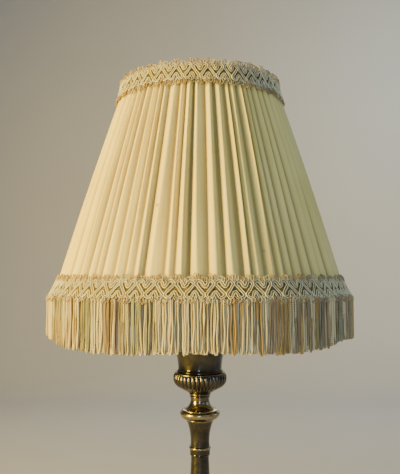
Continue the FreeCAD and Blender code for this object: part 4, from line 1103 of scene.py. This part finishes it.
# %% Plain metals, plastics and glass
def plain(name, colour, second, roughness, metallic=0.0, scale=60.0, fine=900.0, bump=0.03, **more):
    """A finish with a drift between two near colours, and a fine grain."""
    made = Finish(name)
    cloud = made.noise(scale, 3.0)
    grain = made.noise(fine, 2.0)
    made.set(
        Base_Color=made.mix(cloud.smooth(0.3, 0.7), colour, second),
        Metallic=metallic,
        Roughness=grain * 0.12 + (roughness - 0.06),
        **more,
    )
    made.bump(grain, bump * MM, 0.6)
    return made.material


BRIGHT_BRASS = plain("lacquered_brass", (0.78, 0.56, 0.24), (0.66, 0.45, 0.17), 0.25, 1.0)
ZINC = plain("zinc_plate", (0.55, 0.56, 0.58), (0.42, 0.43, 0.45), 0.38, 1.0)
IRON = plain("cast_iron", (0.07, 0.065, 0.06), (0.13, 0.10, 0.08), 0.75, 0.4, 40.0, 500.0, 0.25)
ENAMEL = plain("white_enamel", (0.76, 0.72, 0.60), (0.68, 0.62, 0.48), 0.35)
BLACK_PLASTIC = plain("black_plastic", (0.025, 0.02, 0.018), (0.045, 0.035, 0.03), 0.4)
BROWN_PLASTIC = plain(
    "brown_plastic", (0.06, 0.028, 0.014), (0.035, 0.016, 0.009), 0.18, Coat_Weight=0.4
)
CARD = plain("fibre_card", (0.32, 0.22, 0.13), (0.25, 0.17, 0.10), 0.8, 0.0, 90.0, 700.0, 0.1)
CAP_METAL = plain("bulb_cap_metal", (0.74, 0.72, 0.68), (0.62, 0.60, 0.56), 0.3, 1.0)
SOLDER = plain("solder", (0.50, 0.50, 0.50), (0.38, 0.37, 0.36), 0.45, 1.0, 300.0)
OPAL = plain(
    *("frosted_glass", (0.90, 0.89, 0.85), (0.86, 0.85, 0.80), 0.32, 0.0, 20.0, 1500.0, 0.01),
    Coat_Weight=0.5,
)
CLEAR = plain(
    "clear_glass", (0.90, 0.94, 0.92), (0.86, 0.90, 0.88), 0.08, Transmission_Weight=0.9
)

PLAIN_FINISH = {
    "cord_bush": BLACK_PLASTIC,
    "ballast": IRON,
    "bottom_washer": ZINC,
    "bottom_nut": ZINC,
    "tie_pipe": ZINC,
    "cup_nut": ZINC,
    "cap_set_screw": ZINC,
    "holder_cap": BRIGHT_BRASS,
    "holder_shell": BRIGHT_BRASS,
    "holder_sleeve": CARD,
    "holder_base": BLACK_PLASTIC,
    "terminal_screws": BRIGHT_BRASS,
    "screw_shell": BRIGHT_BRASS,
    "socket_contact": BRIGHT_BRASS,
    "switch_spindle": BRIGHT_BRASS,
    "switch_key": BROWN_PLASTIC,
    "bulb_tip": SOLDER,
    "bulb_cap": CAP_METAL,
    "bulb_glass": OPAL,
    "bulb_stem": CLEAR,
    "filament": ZINC,
    "harp_saddle": BRIGHT_BRASS,
    "harp": BRIGHT_BRASS,
    "harp_ferrule_left": BRIGHT_BRASS,
    "harp_ferrule_right": BRIGHT_BRASS,
    "harp_seat": BRIGHT_BRASS,
    "finial_insert": BRIGHT_BRASS,
    "shade_top_ring": ENAMEL,
    "shade_bottom_ring": ENAMEL,
    "shade_struts": ENAMEL,
    "shade_spider": ENAMEL,
}
for node, material in PLAIN_FINISH.items():
    give(node, material)
print(len(PLAIN_FINISH), "pieces with plain finishes")


# %% [markdown]
# The felt under the foot is the one soft piece down there. It is a disc with a slightly
# rounded, fibrous edge: a circle, filled, extruded and bevelled.


# %% Felt pad
def felt_disc():
    low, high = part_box("felt_pad")
    bm = bmesh.new()
    bmesh.ops.create_circle(bm, cap_ends=True, segments=160, radius=high.x)
    bmesh.ops.translate(bm, verts=bm.verts, vec=(0, 0, low.z))
    grown = bmesh.ops.extrude_face_region(bm, geom=bm.faces[:])["geom"]
    fresh = [g for g in grown if isinstance(g, bmesh.types.BMVert)]
    bmesh.ops.translate(bm, verts=fresh, vec=(0, 0, high.z - low.z))
    rim = [e for e in bm.edges if len({round(v.co.z, 5) for v in e.verts}) == 1 and e.is_manifold]
    bmesh.ops.bevel(
        bm, geom=rim, offset=0.4 * MM, segments=2, profile=0.5, affect="EDGES", material=-1
    )
    for v in bm.verts:
        push = 0.25 * MM * round_drift(math.atan2(v.co.y, v.co.x), 60.0, v.co.z * 900)
        r = math.hypot(v.co.x, v.co.y)
        if r > 0.5 * high.x:
            v.co.x *= (r - abs(push)) / r
            v.co.y *= (r - abs(push)) / r
    bmesh.ops.recalc_face_normals(bm, faces=bm.faces)
    return link("felt_disc", bm, smooth=False)


felt = felt_disc()
felt.data.materials.append(
    plain("felt", (0.060, 0.045, 0.032), (0.10, 0.075, 0.05), 0.95, 0.0, 250.0, 1400.0, 0.5)
)
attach(felt, "lamp_base")
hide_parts("felt_pad")
print("felt:", len(felt.data.polygons), "faces")
